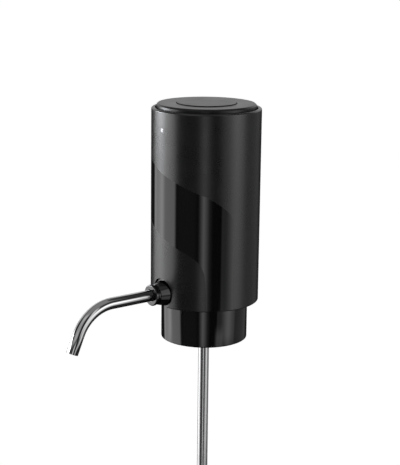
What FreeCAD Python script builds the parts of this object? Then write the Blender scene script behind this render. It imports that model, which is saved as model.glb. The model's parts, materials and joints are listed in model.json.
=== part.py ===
import FreeCAD, Part
import math
import os

Vector = FreeCAD.Vector

# Electric wine aerator that stands on an open bottle. All lengths are millimetres.
# Origin: on the stopper's axis, in the plane where the bottle's mouth meets the gasket.
# +Z points up, the spout points along -Y and the charging port along +Y.

# Fits and gaps
running_gap = 0.05
slip_gap = 0.15
moving_gap = 0.3
cut_past = 1.0
match_gap = 0.01

# Outer housing, a tall cylinder with a floor
housing_radius = 30.0
housing_wall = 2.0
housing_height = 107.0
housing_floor = 2.0
rim_round = 0.9
housing_edge_round = 0.5

# Base skirt, the shorter cylinder that hides the bottle's mouth
skirt_radius = 24.0
skirt_wall = 2.0
skirt_depth = 17.0
skirt_ceiling = 2.0
skirt_edge_round = 0.5

# Top cap and push button
cap_gap = 0.8
cap_rise = 2.2
cap_chamfer = 0.8
cap_plate = 2.0
cap_wall = 1.8
cap_skirt_length = 12.2
cap_boss_radius = 2.4
cap_boss_gap = 0.4
button_boss_gap = 2.55
button_rise = 0.4
button_edge_round = 0.4
button_plate = 2.4
button_travel = 0.8
button_flange_width = 1.3
button_flange_height = 1.3
button_skirt_wall = 1.4
button_skirt_length = 4.4
button_post_radius = 2.5
button_bore_gap = 0.25

# Button spring
button_spring_wire = 0.6
button_spring_radius = 5.6
button_spring_turns = 4

# Status lamp
lamp_drop = 10.3
lamp_radius = 0.7
lamp_chip = 1.6
lamp_stand = 0.1

# Bottle stopper
core_flange_radius = 14.5
core_flange = 1.5
core_post_radius = 5.6
core_post_length = 22.0
core_hub_radius = 6.6
gasket_thickness = 1.5
gasket_inner_radius = 10.0
plug_radius = 9.25
plug_land_above = 1.0
plug_land_below = 8.0
plug_relief = 0.5
plug_rib_radius = 9.2
plug_groove_radius = 7.9
plug_rib_pitch = 4.4
plug_rib_fall = 1.32
plug_rib_groove = 1.1
plug_rib_land = 1.1
plug_rib_count = 3
plug_nose_radius = 7.0
plug_nose_length = 1.0
port_gasket_thickness = 0.5

# Wine and air passages
wine_bore_radius = 1.9
wine_nipple_radius = 2.6
air_bore_radius = 0.8
air_nipple_radius = 1.3
passage_step = 0.3
nipple_height = 3.4
air_offset = 4.3

# Suction tubes that hang in the bottle
upper_tube_radius = 3.0
upper_tube_wall = 0.4
upper_tube_length = 140.0
upper_tube_grip = 12.0
lower_tube_radius = 2.5
lower_tube_wall = 0.4
lower_tube_length = 155.0
lower_tube_exposed = 30.0
collar_radius = 4.3
collar_length = 10.0
collar_grip = 6.0
collar_edge_round = 0.6
tube_seal_section = 0.5
tip_radius = 3.3
tip_length = 10.0
tip_overhang = 4.0
tip_slot_width = 1.6
tip_slot_height = 3.0

# Chassis inside the housing
chassis_gap = 0.6
chassis_base = 2.5
deck_thickness = 2.0
deck_gap = 0.8
spine_thickness = 2.0
spine_side = 1.5
spine_window_half_width = 12.0
spine_window_height = 7.0
spine_window_drop = 1.0
wire_window_width = 8.0
wire_window_height = 6.0
column_half_width = 3.0
column_depth = 4.0
frame_screw_edge = 1.0
frame_screw_end = 1.0
frame_boss_radius = 2.9
frame_boss_height = 7.5
deck_screw_gap = 0.6
deck_tab_radius = 2.4
deck_tab_height = 10.0

# Wine manifold
manifold_half_width = 7.0
manifold_height = 10.3
manifold_back = 8.0
manifold_lift = 0.1
spout_height = 7.2
snout_radius = 6.3
snout_reach = 2.7
snout_length = 11.0
nozzle_radius = 2.95
nozzle_gap = 2.2
nozzle_length = 9.0
nozzle_throat = 1.1
nozzle_throat_length = 2.0
nozzle_groove = 0.5

# Spout boss, swivel ferrule and steel spout
face_radius = 8.3
face_setback = 1.7
boss_base_radius = 7.0
boss_tip_radius = 5.5
boss_length = 7.1
boss_step_width = 0.5
boss_step_depth = 0.35
boss_step_run = 0.1
inlet_radius = 0.45
inlet_offset = -2.0
inlet_setback = 1.6
ferrule_radius = 4.5
ferrule_length = 11.3
ferrule_lip = 1.1
ferrule_ring_radius = 5.8
ferrule_ring_width = 1.7
ferrule_ring_round = 0.55
ferrule_seal_section = 0.4
ferrule_seal_spacing = 3.4
ferrule_seal_inset = 2.2
spout_radius = 3.15
spout_wall = 0.5
spout_grip = 10.0
spout_run = 25.4
spout_bend_radius = 22.8
spout_bend_angle = 66.6
spout_end_run = 10.45

# Air pump and motor, on one upright axis
pump_side_gap = 1.0
pump_inset = 0.1
pump_bottom = 20.5
pump_cover_height = 5.0
pump_cover_wall = 1.5
valve_plate_thickness = 2.5
valve_stem_radius = 0.5
valve_hole_radius = 0.4
valve_hole_inset = 0.5
valve_hole_count = 3
valve_head_gap = 0.3
valve_head_thickness = 0.5
diaphragm_thickness = 1.2
pump_frame_height = 11.8
pump_frame_wall = 1.6
pump_screw_edge = 1.4
pump_screw_radius = 0.8
pump_screw_head_radius = 1.5
pump_screw_head = 1.1
pump_screw_boss = 1.7
pump_screw_end = 1.0
outlet_inset = 3.5
outlet_length = 3.0
motor_share = 0.432
motor_length = 27.5
motor_wall = 0.8
motor_cap_height = 2.5
motor_cap_lip = 1.0
magnet_thickness = 1.6
magnet_height = 18.5
magnet_rise = 4.0
magnet_gap = 0.4
magnet_angle = 120.0
rotor_slot_width = 2.4
rotor_slot_depth = 5.0
rotor_slot_count = 3
rotor_inset = 1.0
shaft_radius = 1.0
shaft_stand = 0.8
press_gap = 0.01
bush_radius = 3.0
bush_length = 4.2
bush_drop = 1.2
bush_stand = 0.6
terminal_spacing = 8.0
terminal_height = 3.0
terminal_width = 2.0
terminal_thickness = 0.5
damper_thickness = 0.6
damper_overhang = 1.0
clip_wall = 1.2
clip_height = 8.0
clip_gap = 4.0
clip_root = 0.2

# Crank and rocker that work the diaphragm
tilt_angle = 5.0
rocker_height = 2.3
crank_radius = 5.0
crank_height = 4.0
crank_floor = 1.0
crank_gap = 0.9
crank_pin_root = 0.6
crank_pin_radius = 0.75
crank_pin_depth = 1.2
rocker_hub_radius = 2.4
rocker_hub_above = 2.2
rocker_hub_below = 2.0
rocker_arm_width = 3.0
rocker_arm_thickness = 1.2
rocker_arm_past = 1.0
cup_circle_share = 0.53
cup_share = 0.25
cup_height = 1.7
cup_wall = 0.6
cup_count = 3

# Check valve and air hose
valve_radius = 3.6
valve_length = 7.0
valve_chamber_radius = 2.4
valve_end_wall = 1.0
valve_inlet_length = 1.6
valve_outlet_length = 2.6
valve_ball_radius = 1.6
valve_ball_travel = 0.8
valve_height = 6.4
valve_spring_wire = 0.25
valve_spring_radius = 1.1
valve_spring_turns = 3
hose_bore = 1.5
hose_radius = 2.2
hose_bend = 2.6
hose_end_gap = 0.2

# Rechargeable cell and its cradle
cell_side_gap = 1.0
cell_y = 2.0
cell_share = 0.3285
cell_head_room = 12.2
cell_nub_radius = 2.8
cell_nub_height = 0.8
cradle_gap = 0.15
cradle_wall = 1.25
cradle_floor_top = 20.5
cradle_floor = 1.5
cradle_mouth = 2.5
cradle_leg = 8.0
tab_thickness = 0.3
tab_width = 6.0
tab_length = 12.0

# Circuit boards
board_thickness = 1.6
board_standoff = 1.0
standoff_radius = 2.2
board_side_gap = 5.0
board_manifold_gap = 6.6
board_deck_gap = 6.0
board_screw_inset = 3.5
board_screw_window_gap = 2.0
top_board_trim = 1.0
top_board_lift = 1.0
top_board_standoff_inset = 2.0
top_board_standoff_count = 3
switch_half = 3.0
switch_height = 3.5
plunger_radius = 1.75
charge_board_half_width = 9.0
charge_board_height = 13.6
charge_board_thickness = 1.2
charge_screw_inset = 2.3
port_rise = 19.0
port_width = 8.94
port_height = 3.26
port_length = 7.3
port_setback = 1.1
port_back_wall = 1.0
port_tongue_setback = 1.2
port_shell = 0.35
port_tongue = 0.7
port_gap = 0.3
ribbon_half_width = 4.0
ribbon_thickness = 0.3
ribbon_overlap = 6.0
ribbon_slot_gap = 1.0
ribbon_land = 0.9
wire_radius = 0.4
wire_gap = 0.15
wire_wide_bend = 2.5
wire_tight_bend = 1.3
charge_wire_rise = 8.0
motor_wire_land = 5.0
motor_wire_spread = 4.0
motor_wire_setback = 4.0
battery_wire_inset = 3.0
battery_wire_setback = 5.0

# Components on the main board: left, right, low and high edge from its lower middle, and height
board_parts = [(-5, 5, 26, 36, 1.2), (-9, -3, 44, 50, 3.0), (4, 9, 46, 50, 1.0), (-12, -6, 10, 18, 1.5)]
buzzer_x = 9.0
buzzer_height = 14.0
buzzer_radius = 3.0
buzzer_thickness = 4.0

# Screws
small_screw_radius = 0.95
small_screw_head_radius = 1.8
small_screw_head = 0.9
small_screw_length = 8.0
board_screw_length = 4.0
base_screw_radius = 1.4
base_screw_head_radius = 2.6
base_screw_head = 1.6
screw_drive_depth = 0.6
screw_drive_share = 0.5
screw_hole_gap = 0.05

# Levels and places that follow from the sizes above
housing_bottom = gasket_thickness + core_flange + skirt_ceiling
housing_inner = housing_radius - housing_wall
floor_top = housing_bottom + housing_floor
rim_top = housing_bottom + housing_height
chassis_radius = housing_inner - chassis_gap
deck_radius = housing_inner - deck_gap
cap_radius = housing_inner - cap_gap
cap_boss_circle = cap_radius - cap_wall - cap_boss_radius - cap_boss_gap
button_radius = cap_boss_circle - cap_boss_radius - button_flange_width - button_boss_gap
skirt_inner = skirt_radius - skirt_wall
frame_screw_circle = skirt_inner - base_screw_head_radius - frame_screw_edge
ceiling_bottom = housing_bottom - skirt_ceiling
cap_top = rim_top + cap_rise
cap_bottom = cap_top - cap_plate
button_top = cap_top + button_rise
button_under = button_top - button_plate
deck_top = cap_top - cap_plate - cap_skirt_length
deck_bottom = deck_top - deck_thickness
base_top = floor_top + chassis_base
pump_y = air_offset
motor_radius = motor_share * housing_inner
pump_radius = motor_radius - pump_inset
pump_screw_circle = pump_radius - pump_screw_edge
pump_chamber_radius = pump_screw_circle - pump_screw_boss
cup_circle = cup_circle_share * pump_radius
cup_radius = cup_share * pump_radius
rocker_arm_length = cup_circle + rocker_arm_past
valve_head_radius = pump_chamber_radius - cup_circle - valve_head_gap
valve_hole_circle = valve_head_radius - valve_hole_inset
outlet_offset = pump_radius - outlet_inset
clip_inner = motor_radius + running_gap + damper_thickness + running_gap
clip_outer = clip_inner + clip_wall
pump_x = housing_inner - clip_outer - pump_side_gap
spine_back = pump_y - clip_outer + clip_root
spine_front = spine_back - spine_thickness
spine_middle = (spine_front + spine_back) / 2
deck_screw_circle = cap_radius - cap_wall - small_screw_head_radius - deck_screw_gap
deck_tab_x = math.sqrt(deck_screw_circle ** 2 - spine_middle ** 2)
spine_half_width = deck_tab_x + spine_side
board_half_width = spine_half_width - board_side_gap
port_mouth = housing_radius - port_setback
charge_board_back = port_mouth - port_length
column_back = charge_board_back - charge_board_thickness
column_y = column_back - column_depth / 2
spout_z = housing_bottom + spout_height
face_y = -(housing_radius - face_setback)
snout_end = face_y - snout_reach
manifold_front = snout_end + snout_length
boss_end = face_y - boss_length
ring_start = boss_end - running_gap * 2
ring_end = ring_start - ferrule_ring_width
ferrule_back = ring_start + ferrule_length
nozzle_front = ferrule_back + nozzle_gap
spout_run_end = ring_end - spout_run
ferrule_bore = spout_radius + running_gap
swivel_bore = ferrule_radius + running_gap
hub_top = floor_top + manifold_lift - port_gasket_thickness
manifold_bottom = floor_top + manifold_lift
manifold_top = manifold_bottom + manifold_height
valve_z = manifold_bottom + valve_height
valve_start = manifold_half_width
valve_end = valve_start + valve_length
plug_bottom = gasket_thickness - core_post_length
tube_root = plug_bottom + upper_tube_grip
upper_tube_end = tube_root - upper_tube_length
lower_tube_end = upper_tube_end - lower_tube_exposed
plate_bottom = pump_bottom + pump_cover_height
diaphragm_bottom = plate_bottom + valve_plate_thickness
pump_frame_bottom = diaphragm_bottom + diaphragm_thickness
motor_bottom = pump_frame_bottom + pump_frame_height
motor_top = motor_bottom + motor_length
motor_end = motor_top + motor_cap_height
rocker_z = pump_frame_bottom + rocker_height
crank_bottom = rocker_z + rocker_hub_above + crank_gap
magnet_outer = motor_radius - motor_wall - running_gap
rotor_radius = magnet_outer - magnet_thickness - magnet_gap
magnet_bottom = motor_bottom + magnet_rise
cell_radius = cell_share * housing_inner
cell_bottom = cradle_floor_top + tab_thickness
cell_top = deck_bottom - cell_head_room
cradle_inner = cell_radius + cradle_gap
cradle_outer = cradle_inner + cradle_wall
cell_x = -(housing_inner - cradle_outer - cell_side_gap)
board_back = spine_front - board_standoff
board_front = board_back - board_thickness
board_top = deck_bottom - board_deck_gap
board_bottom = manifold_top + board_manifold_gap
spine_window_top = board_top - spine_window_drop
top_board_flat = ribbon_land - board_front
top_board_radius = top_board_flat + top_board_trim
top_board_bottom = deck_top + top_board_lift
top_board_top = top_board_bottom + board_thickness
switch_top = top_board_top + switch_height
lamp_z = rim_top - lamp_drop
port_z = housing_bottom + port_rise
charge_board_bottom = port_z - charge_board_height / 2
small_hole = small_screw_radius + screw_hole_gap
base_hole = base_screw_radius + screw_hole_gap


def point(x, y, z):
    """A place in the part's frame."""
    return Vector(x, y, z)


def upright(radius, bottom, top, x=0.0, y=0.0):
    """A solid cylinder that stands along Z."""
    return Part.makeCylinder(radius, top - bottom, point(x, y, bottom))


def along_x(radius, start, end, y, z):
    """A solid cylinder that lies along X."""
    return Part.makeCylinder(radius, end - start, point(start, y, z), point(1, 0, 0))


def along_y(radius, start, end, x=0.0, z=spout_z):
    """A solid cylinder that lies along Y, from the larger y down to the smaller."""
    return Part.makeCylinder(radius, start - end, point(x, start, z), point(0, -1, 0))


def block(x_low, x_high, y_low, y_high, z_low, z_high):
    """A solid box between two corners."""
    return Part.makeBox(x_high - x_low, y_high - y_low, z_high - z_low, point(x_low, y_low, z_low))


def tube(outer, inner, bottom, top, x=0.0, y=0.0):
    """An upright hollow cylinder."""
    return upright(outer, bottom, top, x, y).cut(upright(inner, bottom, top, x, y))


def turned(outline, x=0.0, y=0.0):
    """A solid turned about an upright axis from (radius, height) corners."""
    corners = [point(x + radius, y, height) for radius, height in outline]
    face = Part.Face(Part.makePolygon(corners + corners[:1]))
    return face.revolve(point(x, y, 0), point(0, 0, 1), 360)


def turned_along_spout(outline):
    """A solid turned about the spout's axis from (radius, y) corners."""
    corners = [point(0, y, spout_z + radius) for radius, y in outline]
    face = Part.Face(Part.makePolygon(corners + corners[:1]))
    return face.revolve(point(0, 0, spout_z), point(0, -1, 0), 360)


def edges_at(shape, radius, height):
    """The circular edges of a shape that have this radius and lie at this height."""
    found = []
    for edge in shape.Edges:
        if not isinstance(edge.Curve, Part.Circle):
            continue
        same_radius = abs(edge.Curve.Radius - radius) < match_gap
        if same_radius and abs(edge.Curve.Center.z - height) < match_gap:
            found.append(edge)
    return found


def rounded(shape, radius, height, amount):
    """The shape with its circular edges of this radius at this height rounded."""
    return shape.makeFillet(amount, edges_at(shape, radius, height))


def on_circle(radius, count, first_angle, x=0.0, y=0.0):
    """Evenly spaced (x, y) places on a circle."""
    places = []
    for number in range(count):
        angle = math.radians(first_angle + 360.0 * number / count)
        places.append((x + radius * math.cos(angle), y + radius * math.sin(angle)))
    return places


def joined(shapes):
    """One solid from several that overlap or share faces."""
    result = shapes[0]
    for shape in shapes[1:]:
        result = result.fuse(shape)
    return result.removeSplitter()


def group(shapes):
    """Separate solids that share one node."""
    return Part.makeCompound(shapes)


def bent_path(corners, bend_radius):
    """A wire of straight runs through the corners, joined by tangent arcs."""
    edges = []
    start = corners[0]
    for before, corner, after in zip(corners[:-2], corners[1:-1], corners[2:]):
        way_in = (corner - before).normalize()
        way_out = (after - corner).normalize()
        turn = way_in.getAngle(way_out)
        setback = bend_radius * math.tan(turn / 2)
        arc_start = corner - way_in * setback
        arc_end = corner + way_out * setback
        inward = (way_out - way_in).normalize()
        centre_distance = bend_radius / math.cos(turn / 2)
        middle = corner + inward * (centre_distance - bend_radius)
        edges.append(Part.LineSegment(start, arc_start).toShape())
        edges.append(Part.Arc(arc_start, middle, arc_end).toShape())
        start = arc_end
    edges.append(Part.LineSegment(start, corners[-1]).toShape())
    return Part.Wire(edges)


def swept_round(path, radius, start, direction):
    """A solid round bar swept along a wire path."""
    section = Part.Wire(Part.makeCircle(radius, start, direction))
    return path.makePipeShell([section], True, False)


def bent_bar(corners, bend_radius, radius):
    """A round bar along straight runs and arcs."""
    path = bent_path(corners, bend_radius)
    return swept_round(path, radius, corners[0], corners[1] - corners[0])


def coil(mean_radius, wire_radius_, bottom, top, turns, x=0.0, y=0.0):
    """A coil spring along Z, one unbroken wire in quarter turns."""
    low = bottom + wire_radius_
    rise = top - bottom - 2 * wire_radius_
    quarters = 4 * turns

    def on_helix(share):
        angle = 2 * math.pi * turns * share
        across = point(mean_radius * math.cos(angle), mean_radius * math.sin(angle), 0)
        return across + point(x, y, low + rise * share)

    edges = []
    for number in range(quarters):
        begin = on_helix(number / quarters)
        middle = on_helix((number + 0.5) / quarters)
        finish = on_helix((number + 1) / quarters)
        edges.append(Part.Arc(begin, middle, finish).toShape())
    start = on_helix(0)
    slope = point(0, 2 * math.pi * mean_radius * turns, rise)
    return swept_round(Part.Wire(edges), wire_radius_, start, slope)


def screw(x, y, seat_z, length, up, radius, head_radius, head):
    """An upright screw: the shank runs up or down from its seat, the head the other way."""
    way = 1 if up else -1
    axis = point(0, 0, way)
    shank = Part.makeCylinder(radius, length, point(x, y, seat_z), axis)
    cap = Part.makeCylinder(head_radius, head, point(x, y, seat_z - way * head), axis)
    drive = Part.makeCylinder(head_radius * screw_drive_share, screw_drive_depth,
                              point(x, y, seat_z - way * head), axis)
    return shank.fuse(cap).cut(drive).removeSplitter()


def screw_along_y(x, z, seat_y, length, way, radius, head_radius, head):
    """A level screw: the shank runs along Y from its seat, the head the other way."""
    axis = point(0, way, 0)
    shank = Part.makeCylinder(radius, length, point(x, seat_y, z), axis)
    cap = Part.makeCylinder(head_radius, head, point(x, seat_y - way * head, z), axis)
    drive = Part.makeCylinder(head_radius * screw_drive_share, screw_drive_depth,
                              point(x, seat_y - way * head, z), axis)
    return shank.fuse(cap).cut(drive).removeSplitter()


def small_screw(x, y, seat_z, up):
    """One of the small upright screws."""
    return screw(x, y, seat_z, small_screw_length, up, small_screw_radius,
                 small_screw_head_radius, small_screw_head)


frame_screw_places = on_circle(frame_screw_circle, 3, 90)
cap_screw_places = on_circle(cap_boss_circle, 4, 45)
pump_screw_places = on_circle(pump_screw_circle, cup_count, 60, pump_x, pump_y)
deck_screw_places = [(-deck_tab_x, spine_middle), (deck_tab_x, spine_middle), (0, column_y)]


# Outer shells

def make_housing_shell():
    """The tall outer cylinder with its floor, spout face, port slot and lamp hole."""
    shell = upright(housing_radius, housing_bottom, rim_top)
    shell = shell.cut(upright(housing_inner, floor_top, rim_top))
    shell = rounded(shell, housing_radius, rim_top, rim_round)
    shell = rounded(shell, housing_radius, housing_bottom, housing_edge_round)
    shell = shell.cut(upright(core_hub_radius + slip_gap, housing_bottom, floor_top))
    for x, y in frame_screw_places:
        shell = shell.cut(upright(base_hole, housing_bottom, floor_top, x, y))
    shell = shell.cut(along_y(face_radius, face_y, -housing_radius - cut_past))
    shell = shell.cut(along_y(snout_radius + slip_gap, -housing_inner + housing_wall, -housing_radius))
    shell = shell.cut(along_y(lamp_radius + running_gap, -deck_radius, -housing_radius - cut_past, 0, lamp_z))
    return shell.cut(port_outline(port_gap, housing_inner - housing_wall, housing_radius + cut_past))


def make_base_skirt():
    """The short glossy cylinder under the housing, with the ceiling that holds the stopper."""
    skirt = upright(skirt_radius, -skirt_depth, housing_bottom)
    skirt = skirt.cut(upright(skirt_inner, -skirt_depth, ceiling_bottom))
    skirt = rounded(skirt, skirt_radius, -skirt_depth, skirt_edge_round)
    skirt = skirt.cut(upright(core_hub_radius + slip_gap, ceiling_bottom, housing_bottom))
    for x, y in frame_screw_places:
        skirt = skirt.cut(upright(base_hole, ceiling_bottom, housing_bottom, x, y))
    return skirt


def make_top_cap():
    """The disc inside the housing's rim, with the button's bore and a skirt down to the deck."""
    cap = upright(cap_radius, deck_top, cap_top)
    cap = cap.makeChamfer(cap_chamfer, edges_at(cap, cap_radius, cap_top))
    cap = cap.cut(upright(cap_radius - cap_wall, deck_top, cap_bottom))
    cap = cap.cut(upright(button_radius + button_bore_gap, cap_bottom, cap_top))
    for x, y in cap_screw_places:
        cap = cap.fuse(upright(cap_boss_radius, deck_top, cap_bottom, x, y))
        cap = cap.cut(upright(small_hole, deck_top, deck_top + small_screw_length, x, y))
    lamp_back = -cap_radius + cap_wall + cut_past
    cap = cap.cut(along_y(lamp_radius + running_gap, lamp_back, -cap_radius - cut_past, 0, lamp_z))
    return cap.removeSplitter()


def make_lamp_pipe():
    """The clear light pipe whose outer end is the status dot above the spout."""
    surface = housing_radius + lamp_stand
    return along_y(lamp_radius, -top_board_flat - lamp_chip, -surface, 0, lamp_z)


def lamp_chip_block():
    """The side-firing light on the top board's front edge."""
    half = lamp_chip / 2
    return block(-half, half, -top_board_flat - lamp_chip, -top_board_flat,
                 top_board_bottom, top_board_bottom + lamp_chip)


# Push button

def make_push_button():
    """The round button: a crowned plate, a skirt with a retaining flange, and a centre post."""
    button = upright(button_radius, button_under, button_top)
    button = rounded(button, button_radius, button_top, button_edge_round)
    skirt_bottom = button_top - button_skirt_length
    inner = button_radius - button_skirt_wall
    button = button.fuse(tube(button_radius, inner, skirt_bottom, button_under))
    flange_top = cap_bottom - moving_gap
    flange_bottom = flange_top - button_flange_height
    flange = tube(button_radius + button_flange_width, inner, flange_bottom, flange_top)
    button = button.fuse(flange)
    post = upright(button_post_radius, switch_top + button_travel * 2, button_under)
    return button.fuse(post).removeSplitter()


def make_switch_plunger():
    """The switch's own plunger, which the button's post rests on."""
    return upright(plunger_radius, switch_top - button_travel, switch_top + button_travel * 2)


def make_switch_body():
    """The square body of the push switch."""
    body = block(-switch_half, switch_half, -switch_half, switch_half, top_board_top, switch_top)
    well = upright(plunger_radius + slip_gap, switch_top - 2 * button_travel - slip_gap, switch_top)
    return body.cut(well)


def make_button_spring():
    """The coil spring round the switch that lifts the button."""
    return coil(button_spring_radius, button_spring_wire / 2, top_board_top, button_under,
                button_spring_turns)


# Stopper and suction tubes

def make_stopper_core():
    """The rigid core: flange, hub, post and the two nipples, with its wine and air bores."""
    nipple_top = hub_top + nipple_height
    core = upright(core_post_radius, plug_bottom, gasket_thickness)
    core = core.fuse(upright(core_flange_radius, gasket_thickness, ceiling_bottom))
    core = core.fuse(upright(core_hub_radius, ceiling_bottom, hub_top))
    core = core.fuse(upright(wine_nipple_radius, hub_top, nipple_top))
    core = core.fuse(upright(air_nipple_radius, hub_top, nipple_top, 0, air_offset))
    core = core.cut(upright(wine_bore_radius, plug_bottom, nipple_top))
    core = core.cut(upright(air_bore_radius, plug_bottom, nipple_top, 0, air_offset))
    core = core.cut(upright(upper_tube_radius + running_gap / 2, plug_bottom, tube_root))
    return core.removeSplitter()


def make_stopper_sleeve():
    """The soft plug: a straight land, then round ribs and a tapered nose."""
    land_top = plug_land_above
    land_bottom = -plug_land_below
    outline = [(core_post_radius + running_gap / 2, gasket_thickness)]
    outline.append((plug_radius - plug_relief, gasket_thickness))
    outline.append((plug_radius - plug_relief, land_top))
    outline.append((plug_radius, land_top))
    outline.append((plug_radius, land_bottom))
    height = land_bottom
    for number in range(plug_rib_count):
        outline.append((plug_groove_radius, height - plug_rib_fall))
        outline.append((plug_groove_radius, height - plug_rib_fall - plug_rib_groove))
        outline.append((plug_rib_radius, height - plug_rib_pitch + plug_rib_land))
        outline.append((plug_rib_radius, height - plug_rib_pitch))
        height = height - plug_rib_pitch
    outline.append((plug_nose_radius, plug_bottom - plug_nose_length))
    outline.append((core_post_radius + running_gap / 2, plug_bottom - plug_nose_length))
    return turned(outline)


def make_mouth_gasket():
    """The flat ring that the bottle's mouth presses against."""
    return tube(core_flange_radius, gasket_inner_radius, 0, gasket_thickness)


def make_port_gasket():
    """The thin seal round both nipples, between the hub and the manifold."""
    seal = upright(core_hub_radius, hub_top, manifold_bottom)
    seal = seal.cut(upright(wine_nipple_radius + running_gap, hub_top, manifold_bottom))
    return seal.cut(upright(air_nipple_radius + running_gap, hub_top, manifold_bottom, 0, air_offset))


def make_upper_tube():
    """The fixed suction tube, pressed into the stopper's core."""
    inner = upper_tube_radius - upper_tube_wall
    return tube(upper_tube_radius, inner, upper_tube_end, tube_root)


def make_lower_tube():
    """The sliding suction tube inside the fixed one."""
    inner = lower_tube_radius - lower_tube_wall
    top = lower_tube_end + lower_tube_length
    return tube(lower_tube_radius, inner, lower_tube_end, top)


def make_tube_collar():
    """The collar on the fixed tube's lower end, which holds the sliding tube's seal."""
    top = upper_tube_end + collar_grip
    bottom = top - collar_length
    collar = upright(collar_radius, bottom, top)
    collar = rounded(collar, collar_radius, top, collar_edge_round)
    collar = rounded(collar, collar_radius, bottom, collar_edge_round)
    collar = collar.cut(upright(upper_tube_radius + running_gap / 2, upper_tube_end, top))
    collar = collar.cut(upright(lower_tube_radius + 2 * running_gap, bottom, upper_tube_end))
    groove = tube_seal_groove()
    return collar.cut(groove)


def tube_seal_height():
    """The middle height of the seal in the tube collar."""
    return upper_tube_end - (collar_length - collar_grip) / 2


def tube_seal_groove():
    """The space for the sliding tube's seal inside the collar."""
    middle = tube_seal_height()
    reach = lower_tube_radius + running_gap + 2 * tube_seal_section + running_gap
    half = tube_seal_section + running_gap
    return upright(reach, middle - half, middle + half)


def make_tube_seal():
    """The rubber ring that grips the sliding tube."""
    mean = lower_tube_radius + running_gap + tube_seal_section
    return Part.makeTorus(mean, tube_seal_section, point(0, 0, tube_seal_height()))


def make_tube_tip():
    """The slotted foot that keeps the tube's mouth off the bottle's bottom."""
    bottom = lower_tube_end - tip_overhang
    top = bottom + tip_length
    inner = lower_tube_radius - lower_tube_wall
    tip = upright(tip_radius, bottom, top)
    tip = tip.cut(upright(lower_tube_radius + running_gap / 2, lower_tube_end, top))
    tip = tip.cut(upright(inner, bottom, lower_tube_end))
    half = tip_slot_width / 2
    slot_top = bottom + tip_slot_height
    tip = tip.cut(block(-tip_radius, tip_radius, -half, half, bottom, slot_top))
    return tip.cut(block(-half, half, -tip_radius, tip_radius, bottom, slot_top))


# Chassis

def make_chassis_frame():
    """The inner frame: base disc, upright spine, rear column, screw bosses and motor clips."""
    frame = upright(chassis_radius, floor_top, base_top)
    frame = frame.fuse(block(-spine_half_width, spine_half_width, spine_front, spine_back,
                             floor_top, deck_bottom))
    frame = frame.fuse(block(-column_half_width, column_half_width, column_y - column_depth / 2,
                             column_back, floor_top, deck_bottom))
    for x, y in frame_screw_places:
        frame = frame.fuse(upright(frame_boss_radius, floor_top, base_top + frame_boss_height, x, y))
    for x, y in deck_screw_places[:2]:
        frame = frame.fuse(upright(deck_tab_radius, deck_bottom - deck_tab_height, deck_bottom, x, y))
    for x, z in board_screw_places():
        frame = frame.fuse(along_y(standoff_radius, spine_front, board_back, x, z))
    frame = frame.fuse(motor_clips())
    return frame.cut(chassis_openings()).removeSplitter()


def motor_clips():
    """Two rings on the spine that hold the motor in its rubber sleeve."""
    rings = []
    for bottom in clip_levels():
        rings.append(tube(clip_outer, clip_inner, bottom, bottom + clip_height, pump_x, pump_y))
    return group(rings)


def clip_levels():
    """The bottom heights of the two motor clips."""
    return [motor_bottom + clip_gap, motor_top - clip_gap - clip_height]


def chassis_openings():
    """What is cut out of the frame: the manifold's bay, windows and screw holes."""
    side = manifold_half_width + moving_gap
    back = manifold_back + moving_gap
    cuts = [block(-side, side, -chassis_radius, back, floor_top, base_top)]
    cuts.append(block(-side, side, spine_front, spine_back, base_top, manifold_top + moving_gap))
    half = spine_window_half_width
    window_low = spine_window_top - spine_window_height
    cuts.append(block(-half, half, spine_front, spine_back, window_low, spine_window_top))
    window_low = charge_wire_level() - wire_window_height / 2
    cuts.append(block(-wire_window_width, 0, spine_front, spine_back,
                      window_low, window_low + wire_window_height))
    cuts.append(upright(clip_inner, motor_bottom, motor_end, pump_x, pump_y))
    for x, y in frame_screw_places:
        cuts.append(upright(base_hole, floor_top, base_top + frame_boss_height, x, y))
    for x, y in deck_screw_places:
        cuts.append(upright(small_hole, deck_bottom - small_screw_length, deck_bottom, x, y))
    for x, z in board_screw_places():
        cuts.append(along_y(small_hole, board_back + board_screw_length, board_back, x, z))
    for z in charge_screw_levels():
        cuts.append(along_y(small_hole, column_back, column_back - board_screw_length, 0, z))
    return cuts


def make_chassis_deck():
    """The round plate on top of the frame that carries the switch board and the cap."""
    deck = upright(deck_radius, deck_bottom, deck_top)
    circle = top_board_radius - standoff_radius - top_board_standoff_inset
    for x, y in on_circle(circle, top_board_standoff_count, 90):
        deck = deck.fuse(upright(standoff_radius, deck_top, top_board_bottom, x, y))
    for x, y in cap_screw_places + deck_screw_places:
        deck = deck.cut(upright(small_hole, deck_bottom, deck_top, x, y))
    slot_half = ribbon_half_width + ribbon_slot_gap
    slot_front = board_front - 2 * ribbon_slot_gap
    return deck.cut(block(-slot_half, slot_half, slot_front, board_back, deck_bottom, deck_top))


def make_base_screws():
    """The screws that clamp the skirt, the housing and the frame together."""
    length = base_top + frame_boss_height - ceiling_bottom - frame_screw_end
    screws = []
    for x, y in frame_screw_places:
        screws.append(screw(x, y, ceiling_bottom, length, True, base_screw_radius,
                            base_screw_head_radius, base_screw_head))
    return group(screws)


def make_small_screws():
    """The small screws of the deck, the cap and both upright boards."""
    screws = [small_screw(x, y, deck_bottom, True) for x, y in cap_screw_places]
    for x, y in deck_screw_places:
        screws.append(small_screw(x, y, deck_top, False))
    return group(screws)


def make_board_screws():
    """The short screws of the main board and the charging board."""
    screws = []
    for x, z in board_screw_places():
        screws.append(screw_along_y(x, z, board_front, board_screw_length, 1, small_screw_radius,
                                    small_screw_head_radius, small_screw_head))
    for z in charge_screw_levels():
        screws.append(screw_along_y(0, z, charge_board_back, board_screw_length, -1, small_screw_radius,
                                    small_screw_head_radius, small_screw_head))
    return group(screws)


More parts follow.
